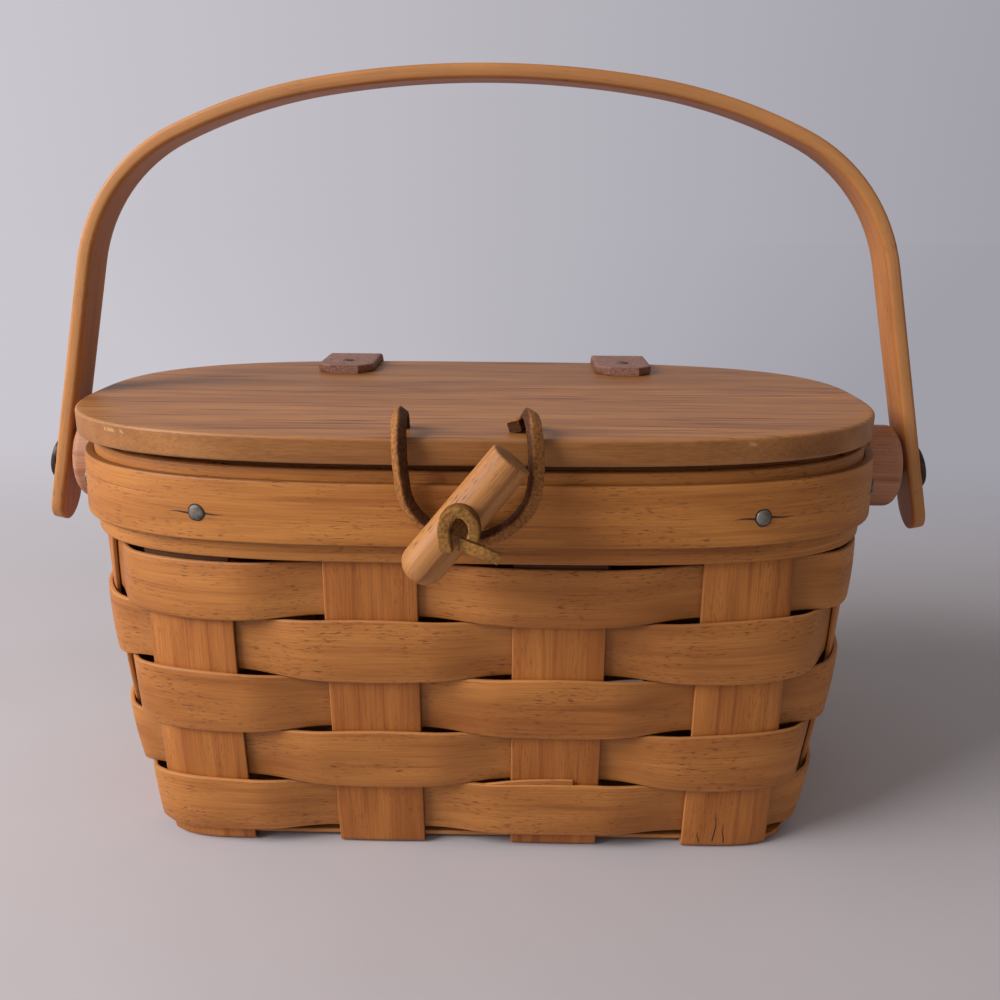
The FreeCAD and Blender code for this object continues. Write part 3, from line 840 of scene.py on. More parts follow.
def iron(name, bare, dull, metal):
    """Return metal with dull patches and fine pits."""
    material, tree, shader = new_material(name)
    place = object_place(tree)
    patches = long_noise(tree, place, 2.5 * MM, 2.5 * MM, 5.0)
    pits = long_noise(tree, place, 0.4 * MM, 0.4 * MM, 3.0)
    base = blend_colours(tree, spread(tree, patches, 0.4, 0.62), bare, dull)
    rough = spread(tree, patches, 0.35, 0.65, 0.35, 0.6)
    normal = bump(tree, maths(tree, "ADD", pits, patches), 0.3, 0.1 * MM)
    look = {"Base Color": base, "Roughness": rough, "Normal": normal, "Metallic": metal}
    fill_sockets(tree, shader, look)
    return material


weaver_wood = wood("weaver_wood", colour(196, 128, 64), colour(152, 88, 36), 0.3, 0.85)
stake_wood = wood("stake_wood", colour(198, 126, 60), colour(160, 92, 38), 0.4, 0.5)
rim_wood = wood("rim_wood", colour(198, 131, 64), colour(162, 97, 40), 0.35, 0.7)
lid_wood = wood("lid_wood", colour(180, 122, 68), colour(142, 88, 42), 0.9, 0.25, True, 0.45, 44 * MM)
handle_wood = wood("handle_wood", colour(194, 126, 62), colour(156, 92, 42), 0.35, 0.6)
spacer_wood = wood("spacer_wood", colour(196, 138, 102), colour(164, 110, 80), 0.4, 0.3, True)
peg_wood = wood("peg_wood", colour(192, 134, 78), colour(158, 102, 52), 0.4, 1.0)
strap_leather = leather("strap_leather", colour(146, 104, 88), colour(122, 78, 62), 0.5 * MM)
lace_leather = leather("lace_leather", colour(150, 98, 50), colour(76, 42, 20), 0.4 * MM, 0.2)
thong_leather = leather("thong_leather", colour(148, 104, 52), colour(108, 70, 30), 0.4 * MM, 0.15)
nail_iron = iron("nail_iron", colour(122, 117, 108), colour(84, 75, 66), 0.35)
tack_iron = iron("tack_iron", colour(104, 74, 62), colour(70, 46, 38), 0.2)
rivet_iron = iron("rivet_iron", colour(64, 52, 44), colour(34, 27, 23), 0.5)
# Dark splits, and the painted shadow rings round the nail heads
dark_crack_and_painted_shadow = iron("dark_crack_and_painted_shadow", colour(38, 18, 8), colour(60, 30, 14), 0.0)


# Woven body


def stake(name, sides, centre, foot):
    """Make a stake: up one wall, along the base and up the other wall.

    It has painted shade just below the rim where the top weaver passes over it.
    """
    columns = rounded_columns(stake_width, stake_thickness, stake_edge_round, stake_columns)
    bend_top = foot + stake_thickness / 2 + stake_bend
    dark_bottom = band_bottom - stake_painted_shade_top
    heights = [mix(band_top, bend_top, share) for share in shares(wall_steps)]
    heights += [band_bottom, dark_bottom, dark_bottom - layer_gap]
    heights.sort(reverse=True)
    halves = []
    painted_shade_rows = []
    for side in sides:
        tucked = crossings.index((side, centre)) % 2 == 0
        rows = []
        painted_shade = []
        for z in heights:
            # Painted shade just below the rim where the top weaver passes over the stake
            painted_shade.append(gap_painted_shade if tucked and dark_bottom <= z <= band_bottom else 0.0)
            row = []
            for place, _, _ in columns:
                cup = stake_cup * (1 - (2 * place / stake_width) ** 2)
                row.append(side_point(side, centre + place, z, cup))
            rows.append(row)
        foot_row = rows[-1]
        for drop, left in arc(bend_steps, stake_bend, stake_bend)[1:]:
            move = inward[side] * (stake_bend - left) - Z_AXIS * drop
            rows.append([point + move for point in foot_row])
        halves.append(rows)
        painted_shade_rows.append(painted_shade + [0.0] * bend_steps)
    first, second = halves
    base = []
    for share in shares(short_steps)[1:-1]:
        base.append([p.lerp(q, share) for p, q in zip(first[-1], second[-1])])
    shape = Shape(chance.uniform(*stake_tones))
    painted_shade = painted_shade_rows[0] + [0.0] * len(base) + painted_shade_rows[1][::-1]
    ribbon(shape, first + base + second[::-1], columns, stake_edge_painted_shadow, painted_shade)
    dress(shape.finish(name + "_splint", stake_wood), "stake_wood", "basket", name)


def base_splint(name):
    """Make a flat splint in the base, cut to the wall at both ends."""
    low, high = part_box(name)
    wall = base_half_width - stake_thickness
    near = -wall if name.endswith("front") else low.y
    far = wall if name.endswith("back") else high.y
    columns = rounded_columns(far - near, stake_thickness, stake_edge_round, splint_columns)
    z = (low.z + high.z) / 2
    ends = []
    for place, _, _ in columns:
        y = (near + far) / 2 + place
        ends.append((side_point("left", y, z), side_point("right", y, z)))
    rows = [[left.lerp(right, share) for left, right in ends] for share in shares(long_steps)]
    shape = Shape(chance.uniform(*splint_tones))
    ribbon(shape, rows, columns)
    dress(shape.finish(name + "_strip", stake_wood), "stake_wood", "basket", name)


def weave(place, number):
    """Return a weaver's depth at a place, and how far it lies over the stakes there."""
    index = floor(place)
    step = place - index
    sense = 1 if (index + number - 1) % 2 == 0 else -1
    swing = clamp((step - flat_share) / (1 - 2 * flat_share))
    lift = sense * weave_lift * cos(pi * swing)
    return lift, (1 + sense * cos(pi * step)) / 2


def weaver(number):
    """Make one woven ring, deeper where it crosses over a stake."""
    node = f"weaver_{number}"
    low, high = node_heights(node)
    columns = rounded_columns(high - low, weaver_thickness, weaver_edge_round, weaver_columns)
    dip = first_row_dip if number == 1 else weaver_dip
    ease = 0.0 if number == 1 else weaver_bottom_ease
    crest = top_row_crest if number == weaver_count else weaver_crest
    spots = []
    shades = []
    for share in shares(len(crossings) * stations_per_stake):
        place = share * len(crossings)
        lift, over = weave(place, number)
        turn = 2 * pi * share
        wave = Vector((wave_reach * cos(turn), wave_reach * sin(turn), number * wave_row_step))
        bottom = low + ease - (ease + dip) * over + weaver_waviness * noise.noise(wave)
        top = high - weaver_top_ease + (weaver_top_ease + crest) * over
        top += weaver_waviness * noise.noise(wave + Z_AXIS * wave_edge_step)
        row = []
        for across, half, _ in columns:
            height = across / (high - low) + 0.5
            depth = lift + weaver_cup * over * (1 - (2 * height - 1) ** 2)
            row.append((place, mix(bottom, top, height), depth + half, depth - half))
        spots.append(row)
        # Painted shade: the weaver is darker where it passes behind a stake
        shades.append([(wear, (1 - over) ** 2) for _, _, wear in columns])
    shape = Shape(chance.uniform(*weaver_tones))
    ring_strip(shape, spots, columns, shades, closed=True)
    dress(shape.finish(node + "_splint", weaver_wood), "weaver_wood", "basket", node)


def split(shape, spots, face):
    """Add a dark sliver through rows of wall angles and heights, just proud of a face."""
    outer = [[wall_point(angle, z, face) for angle, z in row] for row in spots]
    inner = [[wall_point(angle, z, face - split_depth) for angle, z in row] for row in spots]
    strip(shape, outer, inner, [0.0, split_half_width], [[(0.0, 0.0)] * 2] * len(spots))


def split_in_stake():
    """Make the fine splits in the foot of the last cross stake."""
    shape = Shape()
    for x, low, high in stake_splits:
        place = 2 * (x * MM - cross_places[-1]) / stake_width
        face = stake_thickness / 2 + stake_cup * (1 - place ** 2) + layer_gap / 3
        spots = []
        for share in shares(stake_split_steps):
            z = mix(low, high, share) * MM
            half = stake_split_half_width * (1 - split_taper * share ** 2)
            middle = x * MM + stake_split_wave * sin(share * stake_split_turn + x)
            spots.append([(wall_angle("front", middle + side * half, z), z) for side in (-1, 1)])
        split(shape, spots, face)
    dress(shape.finish("stake_foot_splits", dark_crack_and_painted_shadow), "stake_wood", "basket")


def weaver_lap():
    """Make the square-cut end of the lowest weaver, tucked behind its own start."""
    high = node_heights("weaver_1")[1] + lap_rise
    columns = rounded_columns(lap_height, lap_thickness, lap_thickness / 3, lap_columns)
    rows = []
    for share in shares(lap_steps):
        place = mix(lap_start, lap_end_place, share)
        depth = weave(place, 1)[0] - lap_depth
        middle = high - lap_height / 2 - lap_rise * (1 - share) ** 3
        rows.append([ring_point(place, middle + across, depth) for across, _, _ in columns])
    shape = Shape(lap_tone)
    ribbon(shape, rows, columns)
    dress(shape.finish("weaver_lap", weaver_wood), "weaver_wood", "basket")


# Rim


def band(node, inside, outside, rounding, slot, seam, edge_painted_shadow=0.0):
    """Make a rim band whose thinned ends lap at the seam, with painted shade above the outer one."""
    low, high = node_heights(node)
    middle = (low + high) / 2
    thickness = outside - inside
    columns = rounded_columns(high - low, thickness, rounding, band_columns)
    length = len(crossings) + scarf_length
    spots = []
    for share in shares((len(crossings) + 1) * band_stations):
        grown = clamp(share * length / scarf_length)
        left = clamp((1 - share) * length / scarf_length)
        row = []
        for across, half, _ in columns:
            thinned = thickness / 2 - half
            out = outside - thinned - (1 - grown) * (thickness - scarf_tip)
            back = inside + thinned + (1 - left) * (thickness - scarf_tip)
            row.append((seam + share * length, middle + across, max(out, back), min(out, back)))
        spots.append(row)
    shades = []
    for across, _, wear in columns:
        # With an edge value the edges get painted shadow lines instead of wear
        edge = (0.0, wear * edge_painted_shadow) if edge_painted_shadow else (wear, 0.0)
        # Painted shade on the part that rises above the outer band's top
        shades.append((0.0, gap_painted_shade) if middle + across > band_top else edge)
    shape = Shape(chance.uniform(*band_tones))
    ring_strip(shape, spots, columns, [shades] * len(spots))
    dress(shape.finish(node + "_splint", rim_wood), slot, "basket", node)


def nail_head():
    """Return the profile of a nail's low domed head, from its foot to its middle."""
    foot = -nail_head_height / 2
    rim = [(foot, 0.0), (foot, nail_head_radius * nail_foot_share)]
    return rim + arc(nail_steps, nail_head_height, nail_head_radius)


def nail_seats():
    """Return the base, direction and place of each nail in the rim."""
    seats = [(side, cross_places[i], 0.0) for side in ("front", "back") for i in (0, -1)]
    seats += [(side, y, 0.0) for side in ("left", "right") for y in long_places]
    seats[0] = ("front", cross_places[0], front_left_nail_shift)
    found = []
    for side, value, shift in seats:
        angle = wall_angle(side, value + shift, pivot_height)
        direction = wall_normal(angle, pivot_height)
        base = wall_point(angle, pivot_height, 0) + direction * (trim_out + layer_gap)
        found.append((base, direction, crossings.index((side, value)) + shift / stake_pitch))
    return found


def band_nails():
    """Make the nails' heads, with painted shadow rings round them, and the fine splits beside them."""
    heads = Shape()
    splits = Shape()
    shadow_ring_radius = nail_head_radius + nail_shadow_margin
    # Painted shadow ring: a thin dark disc round the nail head
    shadow_ring = [(-layer_gap, 0.0), (-layer_gap, shadow_ring_radius)]
    shadow_ring += [(nail_shadow_height, shadow_ring_radius), (nail_shadow_height, 0.0)]
    for base, direction, place in nail_seats():
        lathe(heads, base, direction, nail_head(), nail_wobble)
        lathe(splits, base - direction * layer_gap, direction, shadow_ring, nail_shadow_wobble)
        rise = chance.uniform(-split_rise, split_rise)
        spots = []
        for share in shares(split_steps):
            reach = 2 * share - 1
            half = split_half_width * (1 - split_taper * abs(reach) ** 1.5)
            spot = place + reach * split_half_length / stake_pitch
            middle = pivot_height + rise + split_wave * sin(reach * split_wave_turn)
            spots.append([(ring_angle(spot, z), z) for z in (middle - half, middle + half)])
        split(splits, spots, trim_out + layer_gap / 4)
    dress(heads.finish("band_nail_heads", nail_iron), "nail_iron", "basket", "band_nails")
    dress(splits.finish("trim_nail_splits_and_shadow_rings", dark_crack_and_painted_shadow), "trim_wood", "basket")


# Lid and hinge straps


def cut_holes(piece, drills):
    """Cut round holes, each a base, direction, radius and length, through a piece."""
    shape = Shape()
    for base, direction, radius, length in drills:
        profile = [(0.0, 0.0), (0.0, radius), (length, radius), (length, 0.0)]
        lathe(shape, base, direction, profile)
    cutter = shape.finish("cutter", piece.data.materials[0])
    modifier = piece.modifiers.new("holes", "BOOLEAN")
    modifier.object = cutter
    modifier.solver = "EXACT"
    graph = bpy.context.evaluated_depsgraph_get()
    cut = bpy.data.meshes.new_from_object(piece.evaluated_get(graph))
    piece.modifiers.remove(modifier)
    piece.data = cut
    cut.set_sharp_from_angle(angle=sharp_angle)
    bpy.data.objects.remove(cutter)


def lid_profile():
    """Return the lid's edge as inset, height, wear and painted shade, and its row of chips."""
    top = [(lid_worn_border, lid_top, 0.0, 0.0), (lid_edge_round * 2, lid_top, lid_border_wear, 0.0)]
    bottom = [(lid_worn_border, lid_bottom, 0.0, 0.0)]
    turned = []
    corner = arc(lid_edge_steps, lid_edge_round, lid_edge_round)
    for share, (rise, left) in zip(shares(lid_edge_steps), corner):
        inset = lid_edge_round - rise
        drop = lid_edge_round - left
        wear = sin(pi * share)
        # Painted shade grows round the rounding towards the side
        painted_shade = lid_side_painted_shade * share
        top.append((inset, lid_top - drop, lid_top_wear * wear, painted_shade))
        turned.append((inset, lid_bottom + drop, lid_bottom_wear * wear, painted_shade))
    chip_height = lid_top - chip_drop
    middle = (lid_top + lid_bottom) / 2
    heights = (chip_height, chip_height - chip_reach / 2, middle)
    side = [(0.0, z, 0.0, lid_side_painted_shade) for z in heights]
    return top + side + turned[::-1] + bottom, side[0]


def lid_board():
    """Make the lid with rounded edges, worn lighter there, and the lace's two holes."""
    profile, chip_row = lid_profile()
    rows = []
    shades = []
    for level in profile:
        inset, z, wear, painted_shade = level
        row = []
        row_shades = []
        for share in shares(len(crossings) * lid_stations):
            place = share * len(crossings)
            point = ring_point(place, trim_top, trim_out + lid_overhang - inset)
            row.append(Vector((point.x + lid_shift, point.y, z)))
            chips = [spot for spot, reach in lid_chips if abs(place - spot) < reach]
            row_shades.append((wear + chip_wear * len(chips) * (level is chip_row), painted_shade))
        rows.append(row)
        shades.append(row_shades)
    shape = Shape()
    shape.patch(rows, [[(p.x, p.y) for p in row] for row in rows], shades)
    shape.cap(rows[0][:-1])
    shape.cap(rows[-1][:-1])
    board = shape.finish("lid_plank", lid_wood)
    drills = []
    for x, y, _ in (lace_route[0], lace_route[-1]):
        base = Vector((x * MM, y * MM, 2 * lid_bottom - lid_top))
        drills.append((base, Z_AXIS, lace_hole_radius, 3 * (lid_top - lid_bottom)))
    cut_holes(board, drills)
    dress(board, "lid_wood", "lid", "lid_board")


def strap_line(x):
    """Return the y of a strap's inner face at the lid's edge and at its lower end."""
    near = copysign(abs(x) - strap_width / 2, x)
    lid_edge = side_point("back", near - lid_shift, trim_top, trim_out + lid_overhang).y
    rim = side_point("back", near, strap_bottom, trim_out).y
    return lid_edge + strap_gap, rim + strap_gap


def hinge_strap(name, x):
    """Make one leather strap: along the lid, round its back edge and down the rim."""
    back_in, low_in = strap_line(x)
    half = strap_thickness / 2
    over = lid_top + layer_gap + half
    front = lid_back - strap_lid_length
    back = back_in + half
    bend_y = back - strap_bend
    bend_z = over - strap_bend
    line = [(mix(front, bend_y, share), over) for share in shares(strap_steps)]
    line += arc(short_steps, strap_bend, strap_bend, bend_y, bend_z)[1:]
    line += [(back, mix(bend_z, trim_top, share)) for share in shares(short_steps)[1:]]
    for share in shares(middle_steps)[1:]:
        line.append((mix(back, low_in + half, share), mix(trim_top, strap_bottom, share)))
    columns = rounded_columns(strap_width, strap_thickness, strap_edge_round, strap_columns)
    rows = []
    for y, z in line:
        from_end = y - front if z == over else strap_lid_length
        narrowed = 1 - 2 * max(0.0, strap_point - from_end) / strap_width
        wave = Vector((x * strap_wave_across, y * strap_wave_along, z * strap_wave_along))
        level = z + strap_waviness * noise.noise(wave)
        rows.append([Vector((x + place * narrowed, y, level)) for place, _, _ in columns])
    shape = Shape()
    ribbon(shape, rows, columns)
    piece = shape.finish(f"hinge_leather_{name}", strap_leather)
    dress(piece, "strap_leather", None, f"hinge_strap_{name}")
    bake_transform(piece)


def strap_tacks():
    """Make the tacks that hold the straps to the lid and to the rim."""
    lid_heads = Shape()
    rim_heads = Shape()
    for x in (-strap_spread, strap_spread):
        lid_y = lid_back - strap_lid_length + strap_tack_inset
        lid_base = Vector((x, lid_y, lid_top + strap_thickness + layer_gap))
        lathe(lid_heads, lid_base, Z_AXIS, nail_head(), nail_wobble)
        back_in, low_in = strap_line(x)
        height = trim_top - strap_bottom
        direction = Vector((0, height, low_in - back_in)).normalized()
        y = mix(low_in, back_in, tack_rise_from_end / height) + strap_thickness
        rim_base = Vector((x, y, strap_bottom + tack_rise_from_end))
        lathe(rim_heads, rim_base, direction, nail_head(), nail_wobble)
    dress(lid_heads.finish("lid_tack_heads", tack_iron), "nail_iron", "lid", "lid_tacks")
    dress(rim_heads.finish("rim_tack_heads", tack_iron), "nail_iron", "basket", "rim_tacks")


# Handle


def handle_frame():
    """Return the pivot's outer x, the arc centres, radii and end angles of the bow."""
    lean = 1 / tan(leg_slope)
    rim_x = wall_point(0.0, pivot_height, trim_out).x
    pivot_x = rim_x + leg_gap + handle_thickness / sin(leg_slope)
    spread_x = shoulder_radius * sin(shoulder_end)
    spread_x += corner_radius * (sin(leg_slope) - sin(shoulder_end))
    rise = handle_top - crown_radius + shoulder_radius * cos(shoulder_end)
    rise -= corner_radius * (cos(shoulder_end) - cos(leg_slope))
    reach = pivot_x - spread_x - lean * (rise - pivot_height)
    step = (crown_radius - shoulder_radius) * hypot(1, lean)
    crown_end = asin(reach / step) - atan(lean)
    radii = [crown_radius, shoulder_radius, corner_radius]
    ends = [crown_end, shoulder_end, leg_slope]
    centres = [(0.0, handle_top - crown_radius)]
    for i in range(2):
        gap = radii[i] - radii[i + 1]
        x, z = centres[-1]
        centres.append((x + gap * sin(ends[i]), z + gap * cos(ends[i])))
    return pivot_x, centres, radii, ends


pivot_x, bow_centres, bow_radii, bow_ends = handle_frame()


def half_bow():
    """Return the bow's middle line from its crown to the end of the right leg, with half widths."""
    half = handle_width / 2
    line = []
    start = 0.0
    for (x, z), radius, end in zip(bow_centres, bow_radii, bow_ends):
        inner = radius - handle_thickness / 2
        for share in shares(bow_arc_steps)[1 if line else 0:]:
            angle = mix(start, end, share)
            line.append((Vector((x + inner * sin(angle), 0, z + inner * cos(angle))), half))
        start = end
    top = line[-1][0]
    down = Vector((cos(leg_slope), 0, -sin(leg_slope)))
    middle_pivot_z = pivot_height - handle_thickness / 2 * cos(leg_slope)
    straight = (top.z - middle_pivot_z) / sin(leg_slope) + leg_end_drop - half
    for share in shares(leg_steps)[1:]:
        line.append((top + down * straight * share, half))
    for share in shares(middle_steps)[1:]:
        angle = share * pi / 2 * leg_end_share
        line.append((top + down * (straight + half * sin(angle)), half * cos(angle)))
    return line


def handle_bow():
    """Make the bent strip with softened edges and half-round ends."""
    right = half_bow()
    left = [(Vector((-p.x, 0, p.z)), half) for p, half in reversed(right[1:])]
    columns = rounded_columns(handle_width, handle_thickness, handle_edge_round, handle_columns)
    rows = []
    for spot, half in left + right:
        scale = 2 * half / handle_width
        rows.append([spot + X_AXIS * handle_shift + Y_AXIS * c[0] * scale for c in columns])
    shape = Shape(handle_tone)
    ribbon(shape, rows, columns)
    dress(shape.finish("handle_strip", handle_wood), "handle_wood", "handle", "handle_bow")


def handle_pivot(name, side):
    """Make the wooden disc and the domed cap of one pivot, and finish its rivet."""
    node = f"handle_spacer_{name}"
    low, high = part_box(node)
    radius = (high.z - low.z) / 2
    inner_x = low.x if side > 0 else high.x
    length = high.x - low.x
    rounding = spacer_edge_round
    profile = [(0.0, 0.0), (0.0, radius - rounding / 3), (rounding / 3, radius)]
    profile += arc(bend_steps, rounding, rounding, length - rounding, radius - rounding)
    profile.append((length, 0.0))
    shape = Shape(spacer_tone)
    lathe(shape, Vector((inner_x, 0, pivot_height)), X_AXIS * side, profile)
    dress(shape.finish(f"spacer_disc_{name}", spacer_wood), "spacer_wood", "pivots", node)

    outward = Vector((side * sin(leg_slope), 0, cos(leg_slope)))
    base = Vector((side * pivot_x + handle_shift, 0, pivot_height))
    dome = [(0.0, 0.0), (0.0, cap_radius)]
    dome += arc(cap_steps, cap_height - cap_skirt, cap_radius, cap_skirt)
    shape = Shape()
    lathe(shape, base, outward, dome, cap_wobble)
    cap = shape.finish(f"pivot_cap_{name}", rivet_iron)
    dress(cap, "rivet_iron", "handle", f"rivet_cap_{name}")
    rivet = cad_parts[f"pivot_rivet_{name}"]
    rivet.data.materials.clear()
    rivet.data.materials.append(rivet_iron)


# Closure


def toggle_peg():
    """Make the turned peg, blunt above and rounded below, with its thong hole and painted shade on its
    end face.
    """
    low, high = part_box("toggle_peg")
    middle = (low + high) / 2
    axis = Vector((cos(peg_tilt), 0, sin(peg_tilt)))
    profile = []
    for share in shares(middle_steps):
        angle = share * pi / 2
        radius = peg_radius * sin(angle) ** peg_tip_fullness
        profile.append((peg_tip_length * (1 - cos(angle)), radius))
    end = peg_length - peg_end_round
    for share in shares(short_steps)[1:]:
        profile.append((mix(peg_tip_length, end, share), peg_radius * (1 - peg_taper * share)))
    end_radius = peg_radius * (1 - peg_taper) - peg_end_round
    profile += arc(edge_steps, peg_end_round, peg_end_round, end, end_radius)[1:]
    profile.append((peg_length, 0.0))
    shape = Shape(peg_tone)
    lathe(shape, middle - axis * peg_length / 2, axis, profile, peg_wobble, peg_end_painted_shade)
    peg = shape.finish("toggle_peg_turned", peg_wood)
    start = middle - Y_AXIS * 2 * peg_radius
    cut_holes(peg, [(start, Y_AXIS, peg_hole_radius, 4 * peg_radius)])
    dress(peg, "peg_wood", "toggle", "toggle_peg")
    return middle


def knot(foot, second_axis, way, turns, depths, steps):
    """Return a knot's turns round a foot, wound from X to a second axis and drawn out one way."""
    line = []
    for share in shares(steps):
        angle = 2 * pi * turns * share
        place = (X_AXIS * cos(angle) + second_axis * sin(angle)) * knot_turn_radius
        line.append(foot + place + way * mix(*depths, share))
    return line


def thong_curl(start):
    """Return the line of the thong's curl, over the peg's middle and down its left side."""
    line = []
    for share in shares(curl_steps):
        angle = mix(curl_start, pi, share)
        depth = curl_depth + curl_bow * sin(share * pi)
        place = Vector((curl_half_width * cos(angle), -depth, curl_half_height * sin(angle)))
        line.append(start + place)
    leg_top = line[-1]
    for share in shares(short_steps)[1:]:
        line.append(leg_top + Vector((curl_leg_lean * share ** 2, 0, -curl_leg_drop * share)))
    return line


def thong_tail(start):
    """Return the line of the thong's short tail, which falls to the right."""
    line = []
    for share in shares(long_steps):
        reach = tail_length * share
        bow = tail_bow * sin(share * pi)
        x = reach * cos(tail_fall) - bow * sin(tail_fall)
        z = reach * sin(tail_fall) + bow * cos(tail_fall)
        depth = tail_depth + tail_lift * sin(share * tail_lift_turn)
        line.append(start + Vector((x, -depth, z - tail_start_drop)))
    return line


def toggle_thong(middle):
    """Make the thong: curl and tail before the peg, stem through it, knot inside the rim."""
    front = middle - Y_AXIS * peg_radius
    inside = Vector((middle.x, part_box("toggle_thong")[1].y, middle.z))
    shape = Shape()
    flat = section_loop(thong_width, thong_thickness, thong_edge_round)
    sweep(shape, thong_curl(front), Y_AXIS, flat, uneven_leather)
    stem_start = front - Y_AXIS * stem_reach
    stem = [stem_start.lerp(inside, share) for share in shares(stem_steps)]
    stem_loop = section_loop(thong_width, stem_thickness, stem_edge_round)
    sweep(shape, stem, X_AXIS, stem_loop, smooth_leather, [stem_twist] * len(stem))
    tail_loop = section_loop(tail_width, tail_thickness, tail_edge_round)
    tail_twists = [tail_twist * share for share in shares(long_steps)]
    sweep(shape, thong_tail(front), Z_AXIS, tail_loop, uneven_leather, tail_twists)
    turns = knot(inside, Z_AXIS, -Y_AXIS, thong_knot_turns, thong_knot_depths, curl_steps)
    sweep(shape, turns, Y_AXIS, flat, uneven_leather)
    piece = shape.finish("toggle_thong_strip", thong_leather)
    dress(piece, "thong_leather", "toggle", "toggle_thong")


def lid_lace():
    """Make the lace from knot to knot, and the knots under the lid."""
    line = smooth_line([Vector(p) * MM for p in lace_route])
    loop = section_loop(lace_width, lace_thickness, lace_edge_round)
    shape = Shape()
    twists = []
    for share in shares(len(line) - 1):
        twists.append(lace_twist + lace_twist_swing * sin(lace_twist_turn * share))
    sweep(shape, line, X_AXIS, loop, smooth_leather, twists)
    lace = shape.finish("lid_lace_strip", lace_leather)
    dress(lace, "lace_leather", None, "lid_lace_ends", "lid_lace_loop")
    knots = Shape()
    for foot in (line[0], line[-1]):
        turns = knot(foot, Y_AXIS, -Z_AXIS, lace_knot_turns, lace_knot_depths, lace_knot_steps)
        sweep(knots, turns, Z_AXIS, loop, uneven_leather)
    tail = smooth_line([Vector(p) * MM for p in lace_tail])
    sweep(knots, tail, X_AXIS, loop, torn_leather, [lace_tail_twist] * len(tail))
    knot_piece = knots.finish("lid_lace_knots", lace_leather)
    dress(knot_piece, "lace_leather", "lid", "lace_knots")
    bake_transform(lace)


# Stage


def backdrop(tree, way):
    """Return the background's colour in a direction, with painted light: paler to the left, darker to
    the right.
    """
    sideways = add_node(tree, "ShaderNodeSeparateXYZ", {0: way}).outputs[0]
    share = spread(tree, sideways, -backdrop_spread, backdrop_spread)
    return blend_colours(tree, share, backdrop_painted_lit, backdrop_painted_shaded)


def seen_rays(tree):
    """Return 1 for the rays that show the surroundings, and 0 for those that bring their light."""
    rays = add_node(tree, "ShaderNodeLightPath", {}).outputs
    seen = maths(tree, "MAXIMUM", rays["Is Camera Ray"], rays["Is Glossy Ray"])
    return maths(tree, "MAXIMUM", seen, rays["Is Transmission Ray"])


def floor_material():
    """Return a pale floor that fades into the background further away."""
    material, tree, shader = new_material("pale_floor")
    place = object_place(tree)
    cloth = long_noise(tree, place, 60 * MM, 60 * MM, 4.0)
    base = blend_colours(tree, cloth, *floor_colours)
    fill_sockets(tree, shader, {"Base Color": base, "Roughness": floor_roughness})
    way = add_node(tree, "ShaderNodeVectorMath", {0: place}, operation="NORMALIZE").outputs[0]
    # The far floor glows with the painted backdrop, paler to the left
    glow = add_node(tree, "ShaderNodeEmission", {"Color": backdrop(tree, way)}).outputs[0]
    behind = add_node(tree, "ShaderNodeSeparateXYZ", {0: place}).outputs[1]
    fade = spread(tree, behind, *floor_fade, interpolation_type="SMOOTHERSTEP")
    share = maths(tree, "MULTIPLY", fade, seen_rays(tree))
    surface = add_node(tree, "ShaderNodeMixShader", {0: share, 1: shader.outputs[0], 2: glow})
    fill_sockets(tree, tree.nodes["Material Output"], {"Surface": surface.outputs[0]})
    return material


def make_floor():
    """Lay a wide floor under the basket."""
    data = bpy.data.meshes.new("floor")
    signs = ((-1, -1), (1, -1), (1, 1), (-1, 1))
    corners = [(x * floor_reach, y * floor_reach, 0) for x, y in signs]
    data.from_pydata(corners, [], [(0, 1, 2, 3)])
    data.materials.append(floor_material())
    add_object("floor", data)


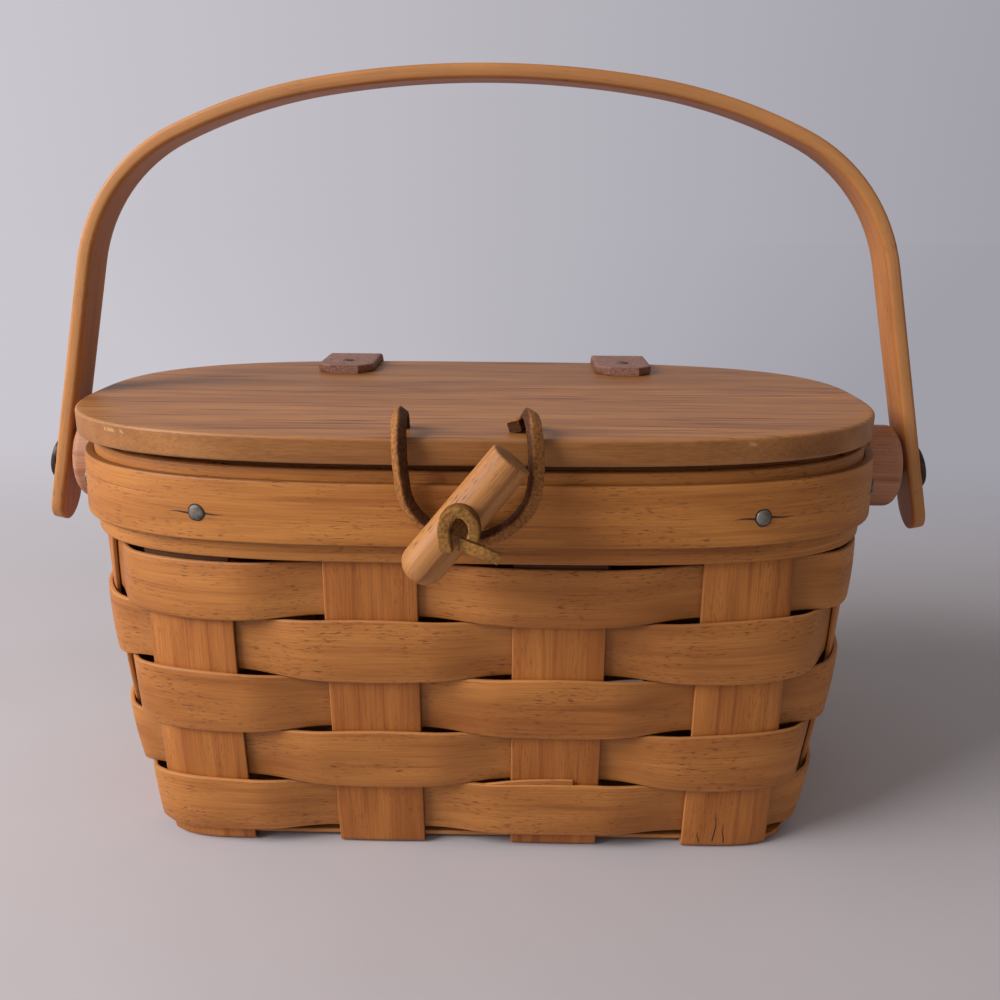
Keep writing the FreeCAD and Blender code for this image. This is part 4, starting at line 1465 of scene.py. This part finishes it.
def make_world():
    """Give soft fill light from all round, and a pale background where it is seen."""
    world = bpy.data.worlds.new("studio")
    bpy.context.scene.world = world
    world.use_nodes = True
    tree = world.node_tree
    way = add_node(tree, "ShaderNodeTexCoord", {}).outputs["Generated"]
    # Seen rays get the painted backdrop, paler to the left
    tint = blend_colours(tree, seen_rays(tree), fill_colour, backdrop(tree, way))
    fill_sockets(tree, tree.nodes["Background"], {"Color": tint})


def make_window():
    """Hang a soft square lamp like a window, to the left of the basket."""
    data = bpy.data.lights.new("window", "AREA")
    data.size = window_size
    data.energy = window_power
    data.color = window_tint
    lamp = add_object("window", data)
    lamp.location = window_place
    lamp.rotation_euler = (window_aim - window_place).to_track_quat("-Z", "Y").to_euler()


def make_camera():
    """Set the camera where the photograph was taken."""
    data = bpy.data.cameras.new("camera")
    data.sensor_width = camera_sensor
    data.lens = camera_lens
    data.clip_start = camera_near
    camera = add_object("camera", data)
    turn = Matrix.Rotation(-camera_yaw, 4, "Z") @ Matrix.Rotation(pi / 2 - camera_pitch, 4, "X")
    turn = turn @ Matrix.Rotation(camera_roll, 4, "Z")
    camera.matrix_world = Matrix.Translation(camera_place) @ turn
    bpy.context.scene.camera = camera


bpy.context.scene.view_settings.view_transform = "Standard"
make_camera()
make_world()
make_floor()
make_window()

for number, x in enumerate(cross_places, 1):
    stake(f"cross_stake_{number}", ("front", "back"), x, 0.0)
for number, y in enumerate(long_places, 1):
    stake(f"long_stake_{number}", ("left", "right"), y, stake_thickness)
for spot in ("front", "middle", "back"):
    base_splint(f"base_splint_{spot}")
for number in range(1, weaver_count + 1):
    weaver(number)
weaver_lap()
split_in_stake()
band("inner_band", inner_band_in, inner_band_out, band_edge_round, "rim_wood", scarf_place + 1)
band("outer_band", outer_band_in, outer_band_out, band_edge_round, "rim_wood", scarf_place)
band("trim_strip", trim_in, trim_out, trim_edge_round, "trim_wood", scarf_place + 0.7, trim_edge_painted_shadow)
band_nails()
lid_board()
for name, x in (("left", -strap_spread), ("right", strap_spread)):
    hinge_strap(name, x)
strap_tacks()
handle_bow()
for name, side in (("left", -1), ("right", 1)):
    handle_pivot(name, side)
peg_middle = toggle_peg()
toggle_thong(peg_middle)
lid_lace()
